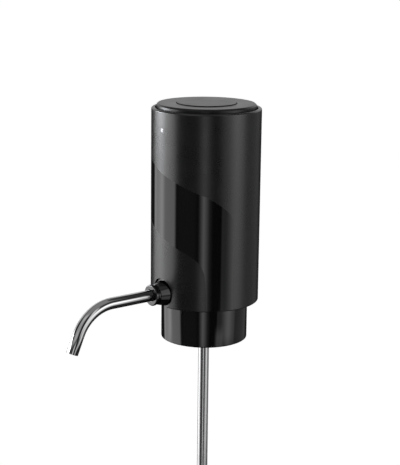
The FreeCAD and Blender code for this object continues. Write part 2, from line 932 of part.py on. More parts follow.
# Wine path

def make_wine_manifold():
    """The block that turns the wine from the stopper to the spout, and brings the air in."""
    half = manifold_half_width
    body = block(-half, half, manifold_front, manifold_back, manifold_bottom, manifold_top)
    body = body.fuse(along_y(snout_radius, manifold_front, snout_end))
    room_top = manifold_top + snout_radius
    body = body.common(block(-half, half, snout_end, manifold_back, manifold_bottom, room_top))
    nipple_room = hub_top + nipple_height + slip_gap
    cuts = [upright(wine_nipple_radius + running_gap, manifold_bottom, nipple_room)]
    cuts.append(upright(air_nipple_radius + running_gap, manifold_bottom, nipple_room, 0, air_offset))
    riser = wine_bore_radius + passage_step
    cuts.append(upright(riser, manifold_bottom, spout_z + riser))
    cuts.append(along_y(wine_bore_radius, 0, ferrule_back - cut_past))
    cuts.append(along_y(nozzle_radius + running_gap, nozzle_front + nozzle_length, ferrule_back - cut_past))
    cuts.append(along_y(swivel_bore, ferrule_back + moving_gap, snout_end))
    riser = air_bore_radius + passage_step
    cuts.append(upright(riser, manifold_bottom, valve_z + riser, 0, air_offset))
    cuts.append(along_x(air_bore_radius, 0, half, air_offset, valve_z))
    cuts.append(along_x(air_nipple_radius + running_gap, half - valve_outlet_length - moving_gap, half,
                        air_offset, valve_z))
    for cut in cuts:
        body = body.cut(cut)
    return body


def make_mixing_nozzle():
    """The insert whose throat mixes air into the wine."""
    front = nozzle_front
    back = front + nozzle_length
    middle = (front + back) / 2
    outline = [(nozzle_radius, back), (nozzle_radius, front), (wine_bore_radius, front)]
    half = nozzle_throat_length / 2
    outline += [(nozzle_throat, middle - half), (nozzle_throat, middle + half), (wine_bore_radius, back)]
    nozzle = turned_along_spout(outline)
    floor = nozzle_radius - nozzle_groove
    groove = [(nozzle_radius, middle + half), (nozzle_radius, middle - half)]
    groove += [(floor, middle - half), (floor, middle + half)]
    return nozzle.cut(turned_along_spout(groove))


def make_spout_boss():
    """The tapered collar on the housing's face that the spout turns in."""
    step = boss_step_width
    tip = boss_tip_radius
    groove = tip - boss_step_depth
    run = boss_step_run
    taper_end = boss_end + 3 * step
    outline = [(boss_base_radius, face_y), (boss_base_radius, face_y - step)]
    outline += [(tip, taper_end), (groove, taper_end - run)]
    outline += [(groove, taper_end - step), (tip, taper_end - step - run)]
    outline += [(tip, taper_end - 2 * step), (groove, taper_end - 2 * step - run)]
    outline += [(groove, boss_end), (swivel_bore, boss_end)]
    outline += [(swivel_bore, snout_end - running_gap), (snout_radius + running_gap, snout_end - running_gap)]
    outline.append((snout_radius + running_gap, face_y))
    boss = turned_along_spout(outline)
    inlet_y = face_y - inlet_setback
    return boss.cut(upright(inlet_radius, spout_z, spout_z + boss_base_radius, inlet_offset, inlet_y))


def make_ferrule():
    """The swivelling sleeve with the polished ring that grips the spout."""
    inner_lip = spout_radius - spout_wall
    outline = [(ferrule_radius, ferrule_back), (ferrule_radius, ring_start)]
    outline += [(ferrule_ring_radius, ring_start), (ferrule_ring_radius, ring_end), (ferrule_bore, ring_end)]
    outline += [(ferrule_bore, ferrule_back - ferrule_lip), (inner_lip, ferrule_back - ferrule_lip)]
    outline.append((inner_lip, ferrule_back))
    ferrule = turned_along_spout(outline)
    outer_edges = []
    for edge in ferrule.Edges:
        if isinstance(edge.Curve, Part.Circle) and abs(edge.Curve.Radius - ferrule_ring_radius) < match_gap:
            outer_edges.append(edge)
    ferrule = ferrule.makeFillet(ferrule_ring_round, outer_edges)
    reach = ferrule_radius - 2 * ferrule_seal_section - running_gap
    half = ferrule_seal_section + running_gap
    for middle in ferrule_seal_places():
        groove = [(ferrule_radius + cut_past, middle + half), (ferrule_radius + cut_past, middle - half)]
        groove += [(reach, middle - half), (reach, middle + half)]
        ferrule = ferrule.cut(turned_along_spout(groove))
    middle = spout_seal_place()
    reach = ferrule_bore + 2 * ferrule_seal_section + running_gap
    groove = [(spout_radius, middle + half), (spout_radius, middle - half)]
    groove += [(reach, middle - half), (reach, middle + half)]
    return ferrule.cut(turned_along_spout(groove))


def ferrule_seal_places():
    """The y places of the two seals round the ferrule."""
    first = ferrule_back - ferrule_seal_inset
    return [first, first - ferrule_seal_spacing]


def spout_seal_place():
    """The y place of the seal inside the ferrule's ring."""
    return (ring_start + ring_end) / 2


def seal_ring(mean_radius, place):
    """A rubber ring about the spout's axis."""
    return Part.makeTorus(mean_radius, ferrule_seal_section, point(0, place, spout_z), point(0, 1, 0))


def make_ferrule_seals():
    """The two rings that seal the ferrule in the boss and give the swivel its drag."""
    mean = ferrule_radius - ferrule_seal_section
    return group([seal_ring(mean, place) for place in ferrule_seal_places()])


def make_spout_seal():
    """The ring inside the ferrule that grips the steel spout."""
    return seal_ring(ferrule_bore + ferrule_seal_section, spout_seal_place())


def spout_corners():
    """The spout's centre line: its inner end, the corner of its bend and its tip."""
    turn = math.radians(spout_bend_angle)
    setback = spout_bend_radius * math.tan(turn / 2)
    corner = point(0, spout_run_end - setback, spout_z)
    down = point(0, -math.cos(turn), -math.sin(turn))
    tip = corner + down * (setback + spout_end_run)
    return [point(0, ring_end + spout_grip, spout_z), corner, tip]


def make_spout_tube():
    """The bent steel spout, one tube from the ferrule to its square-cut tip."""
    corners = spout_corners()
    outer = bent_bar(corners, spout_bend_radius, spout_radius)
    past = (corners[2] - corners[1]).normalize()
    bore_corners = [corners[0] + point(0, cut_past, 0), corners[1], corners[2] + past]
    return outer.cut(bent_bar(bore_corners, spout_bend_radius, spout_radius - spout_wall))


# Air pump

def upright_at_pump(radius, bottom, top):
    """A cylinder on the pump's axis."""
    return upright(radius, bottom, top, pump_x, pump_y)


def pump_screw_holes(bottom, top):
    """The clearance holes for the pump's long screws."""
    return group([upright(pump_screw_radius + screw_hole_gap, bottom, top, x, y)
                  for x, y in pump_screw_places])


def make_pump_cover():
    """The lowest pump plate, with the pressure chamber and the outlet nipple."""
    outlet_x = pump_x + outlet_offset
    cover = upright_at_pump(pump_radius, pump_bottom, plate_bottom)
    cover = cover.fuse(upright(air_nipple_radius, pump_bottom - outlet_length, pump_bottom, outlet_x, pump_y))
    chamber = upright_at_pump(pump_chamber_radius, pump_bottom + pump_cover_wall, plate_bottom)
    cover = cover.cut(chamber)
    low = pump_bottom - outlet_length
    cover = cover.cut(upright(air_bore_radius, low, pump_bottom + pump_cover_wall, outlet_x, pump_y))
    return cover.cut(pump_screw_holes(pump_bottom, plate_bottom)).removeSplitter()


def make_valve_plate():
    """The plate with the seats of the soft valves."""
    plate = upright_at_pump(pump_radius, plate_bottom, diaphragm_bottom)
    for x, y in cup_places():
        plate = plate.cut(upright(valve_stem_radius + running_gap, plate_bottom, diaphragm_bottom, x, y))
        for hole_x, hole_y in on_circle(valve_hole_circle, valve_hole_count, 0, x, y):
            plate = plate.cut(upright(valve_hole_radius, plate_bottom, diaphragm_bottom, hole_x, hole_y))
    return plate.cut(pump_screw_holes(plate_bottom, diaphragm_bottom))


def make_soft_valves():
    """The small mushroom valves under the plate, one for each cup."""
    valves = []
    for x, y in cup_places():
        head = upright(valve_head_radius, plate_bottom - valve_head_thickness, plate_bottom, x, y)
        stem = upright(valve_stem_radius, plate_bottom, diaphragm_bottom, x, y)
        valves.append(head.fuse(stem).removeSplitter())
    return group(valves)


def cup_places():
    """The (x, y) centres of the diaphragm's cups."""
    return on_circle(cup_circle, cup_count, 0, pump_x, pump_y)


def make_diaphragm_sheet():
    """The clamped rim of the rubber diaphragm, open where its cups work."""
    sheet = upright_at_pump(pump_radius, diaphragm_bottom, pump_frame_bottom)
    for x, y in cup_places():
        sheet = sheet.cut(upright(cup_radius + 2 * moving_gap, diaphragm_bottom, pump_frame_bottom, x, y))
    return sheet.cut(pump_screw_holes(diaphragm_bottom, pump_frame_bottom))


def make_pump_frame():
    """The pump's middle housing, round the rocker and the crank."""
    inner = pump_radius - pump_frame_wall
    ceiling = motor_bottom - pump_frame_wall
    frame = upright_at_pump(pump_radius, pump_frame_bottom, motor_bottom)
    frame = frame.cut(upright_at_pump(inner, pump_frame_bottom, ceiling))
    for x, y in pump_screw_places:
        boss = upright(pump_screw_boss, pump_frame_bottom, ceiling, x, y)
        frame = frame.fuse(boss.common(upright_at_pump(pump_radius, pump_frame_bottom, ceiling)))
    frame = frame.cut(upright_at_pump(bush_radius + slip_gap, ceiling, motor_bottom))
    return frame.cut(pump_screw_holes(pump_frame_bottom, ceiling)).removeSplitter()


def make_pump_screws():
    """The long screws that hold the pump's layers together."""
    length = motor_bottom - pump_frame_wall - pump_bottom - pump_screw_end
    return group([screw(x, y, pump_bottom, length, True, pump_screw_radius,
                        pump_screw_head_radius, pump_screw_head) for x, y in pump_screw_places])


# Motor

def make_motor_can():
    """The drawn steel can of the motor."""
    can = upright_at_pump(motor_radius, motor_bottom, motor_top)
    can = can.cut(upright_at_pump(motor_radius - motor_wall, motor_bottom + motor_wall, motor_top))
    return can.cut(upright_at_pump(bush_radius + running_gap / 2, motor_bottom, motor_bottom + motor_wall))


def make_motor_cap():
    """The moulded end cap that closes the can and carries the upper bush."""
    inner = motor_radius - motor_wall - running_gap
    cap = upright_at_pump(motor_radius, motor_top, motor_end)
    cap = cap.fuse(upright_at_pump(inner, motor_top - motor_cap_lip, motor_top))
    cap = cap.cut(upright_at_pump(bush_radius + running_gap / 2, motor_top - motor_cap_lip, motor_end))
    return cap.removeSplitter()


def make_motor_bushes():
    """The two plain bearings of the motor's shaft."""
    bore = shaft_radius + running_gap
    low = motor_bottom - bush_drop
    lower = tube(bush_radius, bore, low, low + bush_length, pump_x, pump_y)
    high = motor_end - bush_length + bush_stand
    upper = tube(bush_radius, bore, high, high + bush_length, pump_x, pump_y)
    return group([lower, upper])


def make_motor_magnets():
    """The two curved magnets inside the can."""
    magnets = []
    top = magnet_bottom + magnet_height
    for turn in (90, 270):
        outer = Part.makeCylinder(magnet_outer, top - magnet_bottom, point(0, 0, magnet_bottom),
                                  point(0, 0, 1), magnet_angle)
        inner = upright(magnet_outer - magnet_thickness, magnet_bottom, top)
        arc = outer.cut(inner)
        arc.rotate(point(0, 0, 0), point(0, 0, 1), turn - magnet_angle / 2)
        arc.translate(point(pump_x, pump_y, 0))
        magnets.append(arc)
    return group(magnets)


def make_motor_terminals():
    """The two solder tags on the motor's end cap."""
    tags = []
    half = terminal_width / 2
    thin = terminal_thickness / 2
    for side in (-1, 1):
        x = pump_x + side * terminal_spacing / 2
        tags.append(block(x - half, x + half, pump_y - thin, pump_y + thin, motor_end,
                          motor_end + terminal_height))
    return group(tags)


def make_motor_rotor():
    """The slotted iron rotor on the shaft."""
    low = magnet_bottom + rotor_inset
    high = magnet_bottom + magnet_height - rotor_inset
    rotor = upright_at_pump(rotor_radius, low, high)
    for number in range(rotor_slot_count):
        slot = block(rotor_radius - rotor_slot_depth, rotor_radius + cut_past, -rotor_slot_width / 2,
                     rotor_slot_width / 2, low, high)
        slot.rotate(point(0, 0, 0), point(0, 0, 1), 360 * number / rotor_slot_count)
        slot.translate(point(pump_x, pump_y, 0))
        rotor = rotor.cut(slot)
    return rotor.cut(upright_at_pump(shaft_radius + press_gap, low, high))


def make_motor_shaft():
    """The thin steel shaft from the crank to the upper bush."""
    return upright_at_pump(shaft_radius, crank_bottom + crank_floor, motor_end + shaft_stand)


def tilted(shape):
    """A shape leant over by the rocker's tilt, about the rocker's centre."""
    shape.rotate(point(pump_x, pump_y, rocker_z), point(0, 1, 0), tilt_angle)
    return shape


def make_crank():
    """The disc on the shaft with the leaning pin that drives the rocker."""
    top = crank_bottom + crank_height
    disc = upright_at_pump(crank_radius, crank_bottom, top)
    disc = disc.cut(upright_at_pump(shaft_radius + press_gap, crank_bottom + crank_floor, top))
    pin_top = crank_bottom + crank_pin_root
    pin = tilted(upright_at_pump(crank_pin_radius, rocker_z - crank_pin_depth, pin_top))
    return disc.fuse(pin).removeSplitter()


def make_rocker():
    """The three-armed rocker that the leaning pin tips round without turning it."""
    half = rocker_arm_thickness / 2
    rocker = upright_at_pump(rocker_hub_radius, rocker_z - rocker_hub_below, rocker_z + rocker_hub_above)
    for number in range(cup_count):
        arm = block(0, rocker_arm_length, -rocker_arm_width / 2, rocker_arm_width / 2, -half, half)
        arm.rotate(point(0, 0, 0), point(0, 0, 1), 360 * number / cup_count)
        arm.translate(point(pump_x, pump_y, rocker_z))
        rocker = rocker.fuse(arm)
    hole_bottom = rocker_z - crank_pin_depth - moving_gap
    hole = upright_at_pump(crank_pin_radius + running_gap, hole_bottom, rocker_z + rocker_hub_above)
    return tilted(rocker.cut(hole).removeSplitter())


def make_diaphragm_cups():
    """The rubber cups under the rocker's arms."""
    top = rocker_z - rocker_arm_thickness / 2
    bottom = top - cup_height
    cups = []
    for x, y in cup_places():
        cup = upright(cup_radius, bottom, top, x, y)
        cup = cup.cut(upright(cup_radius - cup_wall, bottom, top - cup_wall, x, y))
        cups.append(tilted(cup))
    return group(cups)


def make_motor_damper():
    """The rubber sleeve between the motor and its clips."""
    inner = motor_radius + running_gap
    low, high = clip_levels()
    return tube(inner + damper_thickness, inner, low - damper_overhang, high + clip_height + damper_overhang,
                pump_x, pump_y)


# Check valve and hose

def make_valve_body():
    """The check valve between the pump and the manifold, with its two nipples."""
    y = air_offset
    outlet = valve_start - valve_outlet_length
    inlet = valve_end + valve_inlet_length
    body = along_x(valve_radius, valve_start, valve_end, y, valve_z)
    body = body.fuse(along_x(air_nipple_radius, outlet, valve_start, y, valve_z))
    body = body.fuse(along_x(air_nipple_radius, valve_end, inlet, y, valve_z))
    body = body.cut(along_x(air_bore_radius, outlet, inlet, y, valve_z))
    chamber_start = valve_start + valve_end_wall
    chamber_end = valve_end - valve_end_wall
    body = body.cut(along_x(valve_chamber_radius, chamber_start, chamber_end, y, valve_z))
    return body.removeSplitter()


def valve_ball_centre():
    """The closed ball's place, against the inlet's mouth."""
    seat = valve_end - valve_end_wall
    sink = valve_ball_radius - math.sqrt(valve_ball_radius ** 2 - air_bore_radius ** 2)
    return point(seat - valve_ball_radius + sink - running_gap, air_offset, valve_z)


def make_valve_ball():
    """The ball that shuts the air line when the pump rests."""
    return Part.makeSphere(valve_ball_radius, valve_ball_centre())


def make_valve_spring():
    """The light spring behind the ball, at its length with the valve open."""
    start = valve_start + valve_end_wall
    reach = math.sqrt(valve_ball_radius ** 2 - valve_spring_radius ** 2)
    end = valve_ball_centre().x - reach - valve_spring_wire - valve_ball_travel
    spring = coil(valve_spring_radius, valve_spring_wire / 2, start, end, valve_spring_turns)
    spring.rotate(point(0, 0, 0), point(0, 1, 0), 90)
    spring.translate(point(0, air_offset, valve_z))
    return spring


def make_air_hose():
    """The soft hose from the pump's outlet to the check valve."""
    outlet_x = pump_x + outlet_offset
    corners = [point(outlet_x, pump_y, pump_bottom - hose_end_gap), point(outlet_x, pump_y, valve_z),
               point(valve_end + hose_end_gap, pump_y, valve_z)]
    outer = bent_bar(corners, hose_bend, hose_radius)
    bore_corners = [corners[0] + point(0, 0, 1), corners[1], corners[2] - point(1, 0, 0)]
    return outer.cut(bent_bar(bore_corners, hose_bend, hose_bore))


# Power and electronics

def make_battery_cell():
    """The round rechargeable cell with its raised contact."""
    cell = upright(cell_radius, cell_bottom, cell_top, cell_x, cell_y)
    cell = cell.fuse(upright(cell_nub_radius, cell_top, cell_top + cell_nub_height, cell_x, cell_y))
    return cell.removeSplitter()


def make_battery_cradle():
    """The open-sided holder that stands the cell on the frame's base."""
    top = cell_top + cell_nub_height + tab_thickness
    cradle = tube(cradle_outer, cradle_inner, cradle_floor_top, top, cell_x, cell_y)
    mouth = cell_x + cradle_mouth
    cradle = cradle.cut(block(mouth, mouth + cradle_outer, cell_y - cradle_outer, cell_y + cradle_outer,
                              cradle_floor_top, top))
    floor_bottom = cradle_floor_top - cradle_floor
    cradle = cradle.fuse(upright(cradle_outer, floor_bottom, cradle_floor_top, cell_x, cell_y))
    half = cradle_leg / 2
    leg = block(cell_x - half, cell_x + half, cell_y - half, cell_y + half, base_top, floor_bottom)
    return cradle.fuse(leg).removeSplitter()


def make_battery_tabs():
    """The two welded strips on the cell's ends."""
    half = tab_width / 2
    long_half = tab_length / 2
    low = block(cell_x - long_half, cell_x + cradle_outer, cell_y - half, cell_y + half,
                cradle_floor_top, cell_bottom)
    low = low.common(upright(cradle_outer, cradle_floor_top, cell_bottom, cell_x, cell_y))
    contact = cell_top + cell_nub_height
    high = block(cell_x - half, cell_x + half, cell_y - half, cell_y + half, contact, contact + tab_thickness)
    return group([low, high])


def board_screw_places():
    """The (x, z) places of the main board's screws."""
    x = board_half_width - board_screw_inset
    low = board_bottom + board_screw_inset
    high = board_top - board_screw_inset - spine_window_height - board_screw_window_gap
    return [(-x, low), (x, low), (-x, high), (x, high)]


def make_main_board():
    """The main circuit board on the front of the spine."""
    board = block(-board_half_width, board_half_width, board_front, board_back, board_bottom, board_top)
    for x, z in board_screw_places():
        board = board.cut(along_y(small_hole, board_back, board_front, x, z))
    return board


def make_board_chips():
    """The larger components on the main board's front, and the lamp on the top board."""
    chips = []
    for left, right, low, high, height in board_parts:
        chips.append(block(left, right, board_front - height, board_front,
                           board_bottom + low, board_bottom + high))
    chips.append(along_y(buzzer_radius, board_front, board_front - buzzer_thickness, buzzer_x,
                         board_bottom + buzzer_height))
    chips.append(lamp_chip_block())
    return group(chips)


def make_top_board():
    """The small round board under the button."""
    board = upright(top_board_radius, top_board_bottom, top_board_top)
    front = block(-top_board_radius, top_board_radius, -top_board_radius - cut_past, -top_board_flat,
                  top_board_bottom, top_board_top)
    return board.cut(front)


def make_board_ribbon():
    """The flat cable that joins the main board to the top board."""
    return block(-ribbon_half_width, ribbon_half_width, board_front - ribbon_thickness, board_front,
                 board_top - ribbon_overlap, top_board_bottom)


def charge_screw_levels():
    """The heights of the charging board's screws."""
    low = charge_board_bottom + charge_screw_inset
    high = charge_board_bottom + charge_board_height - charge_screw_inset
    return [low, high]


def make_charge_board():
    """The small board behind the charging port."""
    board = block(-charge_board_half_width, charge_board_half_width, column_back, charge_board_back,
                  charge_board_bottom, charge_board_bottom + charge_board_height)
    for z in charge_screw_levels():
        board = board.cut(along_y(small_hole, charge_board_back, column_back, 0, z))
    return board


def port_outline(grow, start, end):
    """A round-ended bar with the port's outline, grown by a gap, along Y."""
    half = port_height / 2 + grow
    reach = port_width / 2 - port_height / 2
    middle = block(-reach, reach, start, end, port_z - half, port_z + half)
    left = along_y(half, end, start, -reach, port_z)
    right = along_y(half, end, start, reach, port_z)
    return joined([middle, left, right])


def make_charge_port():
    """The charging socket's metal shell with its tongue."""
    shell = port_outline(0, charge_board_back, port_mouth)
    shell = shell.cut(port_outline(-port_shell, charge_board_back + port_back_wall, port_mouth + cut_past))
    reach = port_width / 2 - port_height / 2
    half = port_tongue / 2
    tongue = block(-reach, reach, charge_board_back + port_back_wall, port_mouth - port_tongue_setback,
                   port_z - half, port_z + half)
    return shell.fuse(tongue).removeSplitter()


def charge_wire_level():
    """The height at which the charging wires pass the spine."""
    return charge_board_bottom + charge_board_height + charge_wire_rise


def charge_wires():
    """The two wires from the charging board to the main board."""
    level = charge_wire_level()
    wires = []
    y = column_back + charge_board_thickness / 2
    board_edge = charge_board_bottom + charge_board_height
    nearest = -column_half_width - wire_radius - wire_gap
    for x in (nearest, nearest - 2 * wire_radius - 2 * wire_gap):
        corners = [point(x, y, board_edge), point(x, y, level), point(x, board_back, level)]
        wires.append(bent_bar(corners, wire_wide_bend, wire_radius))
    return wires


def motor_wires():
    """The two wires from the motor's tags to the main board."""
    level = spine_window_top - spine_window_height / 2
    wires = []
    for side in (-1, 1):
        x = pump_x + side * terminal_spacing / 2
        land = motor_wire_land + side * motor_wire_spread / 2
        corners = [point(x, pump_y, motor_end + terminal_height), point(x, pump_y, level),
                   point(land, spine_back + motor_wire_setback, level), point(land, board_back, level)]
        wires.append(bent_bar(corners, wire_wide_bend, wire_radius))
    return wires


def battery_wires():
    """The two wires from the cell to the main board."""
    contact = cell_top + cell_nub_height + tab_thickness
    level = contact + 2 * wire_tight_bend
    x = cell_x + cell_nub_radius / 2
    land = -spine_window_half_width + battery_wire_inset
    short = [point(x, cell_y, contact), point(x, cell_y, level),
             point(land, spine_back + battery_wire_setback, level), point(land, board_back, level)]
    x = cell_x + cell_radius + wire_radius + wire_gap
    long_run = [point(x, cell_y, cell_bottom), point(x, cell_y, level), point(x, board_back, level)]
    return [bent_bar(short, wire_tight_bend, wire_radius), bent_bar(long_run, wire_tight_bend, wire_radius)]


def make_wires():
    """All the wires between the port, the cell, the motor and the main board."""
    return group(charge_wires() + motor_wires() + battery_wires())


makers = {
    "housing_shell": make_housing_shell,
    "base_skirt": make_base_skirt,
    "top_cap": make_top_cap,
    "lamp_pipe": make_lamp_pipe,
    "push_button": make_push_button,
    "switch_plunger": make_switch_plunger,
    "switch_body": make_switch_body,
    "button_spring": make_button_spring,
    "stopper_core": make_stopper_core,
    "stopper_sleeve": make_stopper_sleeve,
    "mouth_gasket": make_mouth_gasket,
    "port_gasket": make_port_gasket,
    "upper_tube": make_upper_tube,
    "lower_tube": make_lower_tube,
    "tube_collar": make_tube_collar,
    "tube_seal": make_tube_seal,
    "tube_tip": make_tube_tip,
    "chassis_frame": make_chassis_frame,
    "chassis_deck": make_chassis_deck,
    "base_screws": make_base_screws,
    "small_screws": make_small_screws,
    "board_screws": make_board_screws,
    "wine_manifold": make_wine_manifold,
    "mixing_nozzle": make_mixing_nozzle,
    "spout_boss": make_spout_boss,
    "spout_ferrule": make_ferrule,
    "ferrule_seals": make_ferrule_seals,
    "spout_seal": make_spout_seal,
    "spout_tube": make_spout_tube,
    "pump_cover": make_pump_cover,
    "valve_plate": make_valve_plate,
    "soft_valves": make_soft_valves,
    "diaphragm_sheet": make_diaphragm_sheet,
    "pump_frame": make_pump_frame,
    "pump_screws": make_pump_screws,
    "motor_can": make_motor_can,
    "motor_cap": make_motor_cap,
    "motor_bushes": make_motor_bushes,
    "motor_magnets": make_motor_magnets,
    "motor_terminals": make_motor_terminals,
    "motor_rotor": make_motor_rotor,
    "motor_shaft": make_motor_shaft,
    "crank": make_crank,
    "rocker": make_rocker,
    "diaphragm_cups": make_diaphragm_cups,
    "motor_damper": make_motor_damper,
    "valve_body": make_valve_body,
    "valve_ball": make_valve_ball,
    "valve_spring": make_valve_spring,
    "air_hose": make_air_hose,
    "battery_cell": make_battery_cell,
    "battery_cradle": make_battery_cradle,
    "battery_tabs": make_battery_tabs,
    "main_board": make_main_board,
    "board_chips": make_board_chips,
    "top_board": make_top_board,
    "board_ribbon": make_board_ribbon,
    "charge_board": make_charge_board,
    "charge_port": make_charge_port,
    "wires": make_wires,
}

os.makedirs("parts", exist_ok=True)
for name, make in makers.items():
    shape = make()
    shape.exportStep("parts/" + name + ".step")
    print(name, len(shape.Solids), "solids", round(shape.Volume, 1), "mm3", shape.isValid())
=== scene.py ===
"""Looks of an electric wine aerator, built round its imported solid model.

Sizes are in millimetres, in the frame of the model: +Z points up and the spout points along -Y.
"""

import json
import logging
import math
from dataclasses import dataclass
from enum import Enum

import bmesh
import bpy
from mathutils import Matrix, Vector


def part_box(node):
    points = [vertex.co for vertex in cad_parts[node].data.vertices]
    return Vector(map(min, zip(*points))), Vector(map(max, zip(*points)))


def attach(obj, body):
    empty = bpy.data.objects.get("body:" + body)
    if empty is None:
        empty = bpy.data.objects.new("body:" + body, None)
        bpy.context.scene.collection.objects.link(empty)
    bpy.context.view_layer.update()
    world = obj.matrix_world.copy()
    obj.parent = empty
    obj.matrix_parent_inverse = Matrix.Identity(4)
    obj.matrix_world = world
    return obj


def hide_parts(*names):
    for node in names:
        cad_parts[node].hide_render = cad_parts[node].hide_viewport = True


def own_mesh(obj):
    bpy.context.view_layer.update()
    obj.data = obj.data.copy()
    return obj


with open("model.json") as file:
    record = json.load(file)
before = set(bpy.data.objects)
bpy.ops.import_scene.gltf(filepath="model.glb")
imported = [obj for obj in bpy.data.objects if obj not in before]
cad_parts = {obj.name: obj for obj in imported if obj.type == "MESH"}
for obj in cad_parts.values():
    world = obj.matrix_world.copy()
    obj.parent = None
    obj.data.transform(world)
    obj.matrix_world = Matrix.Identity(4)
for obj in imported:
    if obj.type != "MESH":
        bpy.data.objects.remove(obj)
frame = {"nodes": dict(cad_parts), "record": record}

MM = 0.001
TOUCHING = 1e-4
ORIGIN = (0.0, 0.0, 0.0)
PLAIN = (1.0, 1.0, 1.0)
CREASE = 30.0
BEVEL_LIMIT = 40.0
ARC_STEPS = 5
SLOT_STEPS = 12
WIRE_STEPS = 12
HOLE_STEPS = 24
COIL_STEPS = 40
TUBE_STEPS = 72
ROUND_STEPS = 96
RING_STEPS = 128
WIDE_STEPS = 240
PHOTO_AZIMUTH = 51.5
KEY_TINT = (0.94, 0.985, 1.05)

Pair = tuple[float, float]
Triple = tuple[float, float, float]
Outline = list[tuple[float, ...]]
Socket = bpy.types.NodeSocket

log = logging.getLogger("aerator")
made_materials: dict[str, bpy.types.Material] = {}


class Axis(Enum):
    """The axes that round pieces turn about, as (along, across, sideways) directions."""

    UPRIGHT = (Vector((0, 0, 1)), Vector((1, 0, 0)), Vector((0, 1, 0)))
    SPOUT = (Vector((0, 1, 0)), Vector((0, 0, 1)), Vector((1, 0, 0)))


class Aim(Enum):
    """The way a screw's shank points."""

    UP = (0.0, 0.0, 1.0)
    DOWN = (0.0, 0.0, -1.0)
    BACK = (0.0, 1.0, 0.0)
    FRONT = (0.0, -1.0, 0.0)


class Zone(Enum):
    """Which part of the housing's surface a face lies in."""

    SATIN = 0
    GLOSS = 1


class Layer(Enum):
    """The pattern that changes a surface's sheen."""

    SLOW = 0
    FINE = 1


# Mesh tools


def softened(corners: Outline) -> list[Pair]:
    """Turns corners with a third value, a radius, into arcs.

    Args:
        corners: closed outline of (across, along) or (across, along, radius) corners.

    Returns:
        The outline's points.
    """
    points: list[Pair] = []
    count = len(corners)
    for number, corner in enumerate(corners):
        here = Vector(corner[:2])
        if len(corner) < 3 or corner[2] <= 0:
            points.append((here.x, here.y))
            continue
        to_before = (Vector(corners[number - 1][:2]) - here).normalized()
        to_after = (Vector(corners[(number + 1) % count][:2]) - here).normalized()
        half = to_before.angle(to_after) / 2
        setback = corner[2] / math.tan(half)
        centre = here + (to_before + to_after).normalized() * (corner[2] / math.sin(half))
        start = here + to_before * setback - centre
        finish = here + to_after * setback - centre
        turn = start.angle_signed(finish)
        for step in range(ARC_STEPS + 1):
            spoke = start.copy()
            spoke.rotate(Matrix.Rotation(-turn * step / ARC_STEPS, 2))
            points.append((centre.x + spoke.x, centre.y + spoke.y))
    return points


def sharpen(mesh: bpy.types.Mesh, crease: float = CREASE) -> None:
    """Keeps a mesh's edges sharp where they turn by more than some degrees."""
    mesh.set_sharp_from_angle(angle=math.radians(crease))


def object_from_mesh(name: str, mesh: bpy.types.Mesh, crease: float = CREASE) -> bpy.types.Object:
    """Puts a mesh in the scene as an object with smooth faces and sharp creases.

    Args:
        name: the piece's name.
        mesh: its mesh, in metres.
        crease: edges that turn by more than this many degrees stay sharp.

    Returns:
        The new object, at the origin.
    """
    mesh.polygons.foreach_set("use_smooth", [True] * len(mesh.polygons))
    sharpen(mesh, crease)
    piece = bpy.data.objects.new(name, mesh)
    bpy.context.scene.collection.objects.link(piece)
    return piece


def finished_object(name: str, shape: bmesh.types.BMesh, crease: float = CREASE) -> bpy.types.Object:
    """Makes an object from a shape in millimetres, which is freed.

    Args:
        name: the piece's name.
        shape: the shape, in millimetres.
        crease: edges that turn by more than this many degrees stay sharp.

    Returns:
        The new object, at the origin.
    """
    bmesh.ops.scale(shape, vec=(MM, MM, MM), verts=shape.verts)
    mesh = bpy.data.meshes.new(name)
    shape.to_mesh(mesh)
    shape.free()
    return object_from_mesh(name, mesh, crease)


def apply_modifiers(piece: bpy.types.Object) -> None:
    """Replaces an object's mesh by what its modifiers make of it, and drops them.

    Args:
        piece: the object that keeps the result.
    """
    bpy.context.view_layer.update()
    result = piece.evaluated_get(bpy.context.evaluated_depsgraph_get())
    mesh = bpy.data.meshes.new_from_object(result)
    piece.modifiers.clear()
    piece.data = mesh
    mesh.name = piece.name


def add_strips(shape: bmesh.types.BMesh, rings: list[list[bmesh.types.BMVert]]
               ) -> list[bmesh.types.BMFace]:
    """Joins each ring of points to the next by faces.

    Args:
        shape: the shape that grows.
        rings: rings of equal length, which may repeat a point where they meet the axis.

    Returns:
        The new faces.
    """
    made = []
    for ring, following in zip(rings[:-1], rings[1:]):
        for step, point in enumerate(ring):
            nearby = (step + 1) % len(ring)
            corners = [point, ring[nearby], following[nearby], following[step]]
            distinct = list(dict.fromkeys(corners))
            if len(distinct) > 2:
                made.append(shape.faces.new(distinct))
    return made


def add_turned(shape: bmesh.types.BMesh, outline: list[Pair], axis: Axis = Axis.UPRIGHT,
               centre: Triple = ORIGIN, steps: int = ROUND_STEPS) -> None:
    """Adds a closed outline turned about an axis to a shape.

    Args:
        shape: the shape that grows.
        outline: closed (across, along) points.
        axis: the axis's direction.
        centre: a point on the axis.
        steps: the number of columns round the axis.
    """
    along, across, sideways = axis.value
    rings = []
    for radius, height in outline:
        base = Vector(centre) + along * height
        if radius < TOUCHING:
            rings.append([shape.verts.new(base)] * steps)
            continue
        ring = []
        for step in range(steps):
            angle = 2 * math.pi * step / steps
            spoke = across * math.cos(angle) + sideways * math.sin(angle)
            ring.append(shape.verts.new(base + spoke * radius))
        rings.append(ring)
    bmesh.ops.recalc_face_normals(shape, faces=add_strips(shape, rings + rings[:1]))


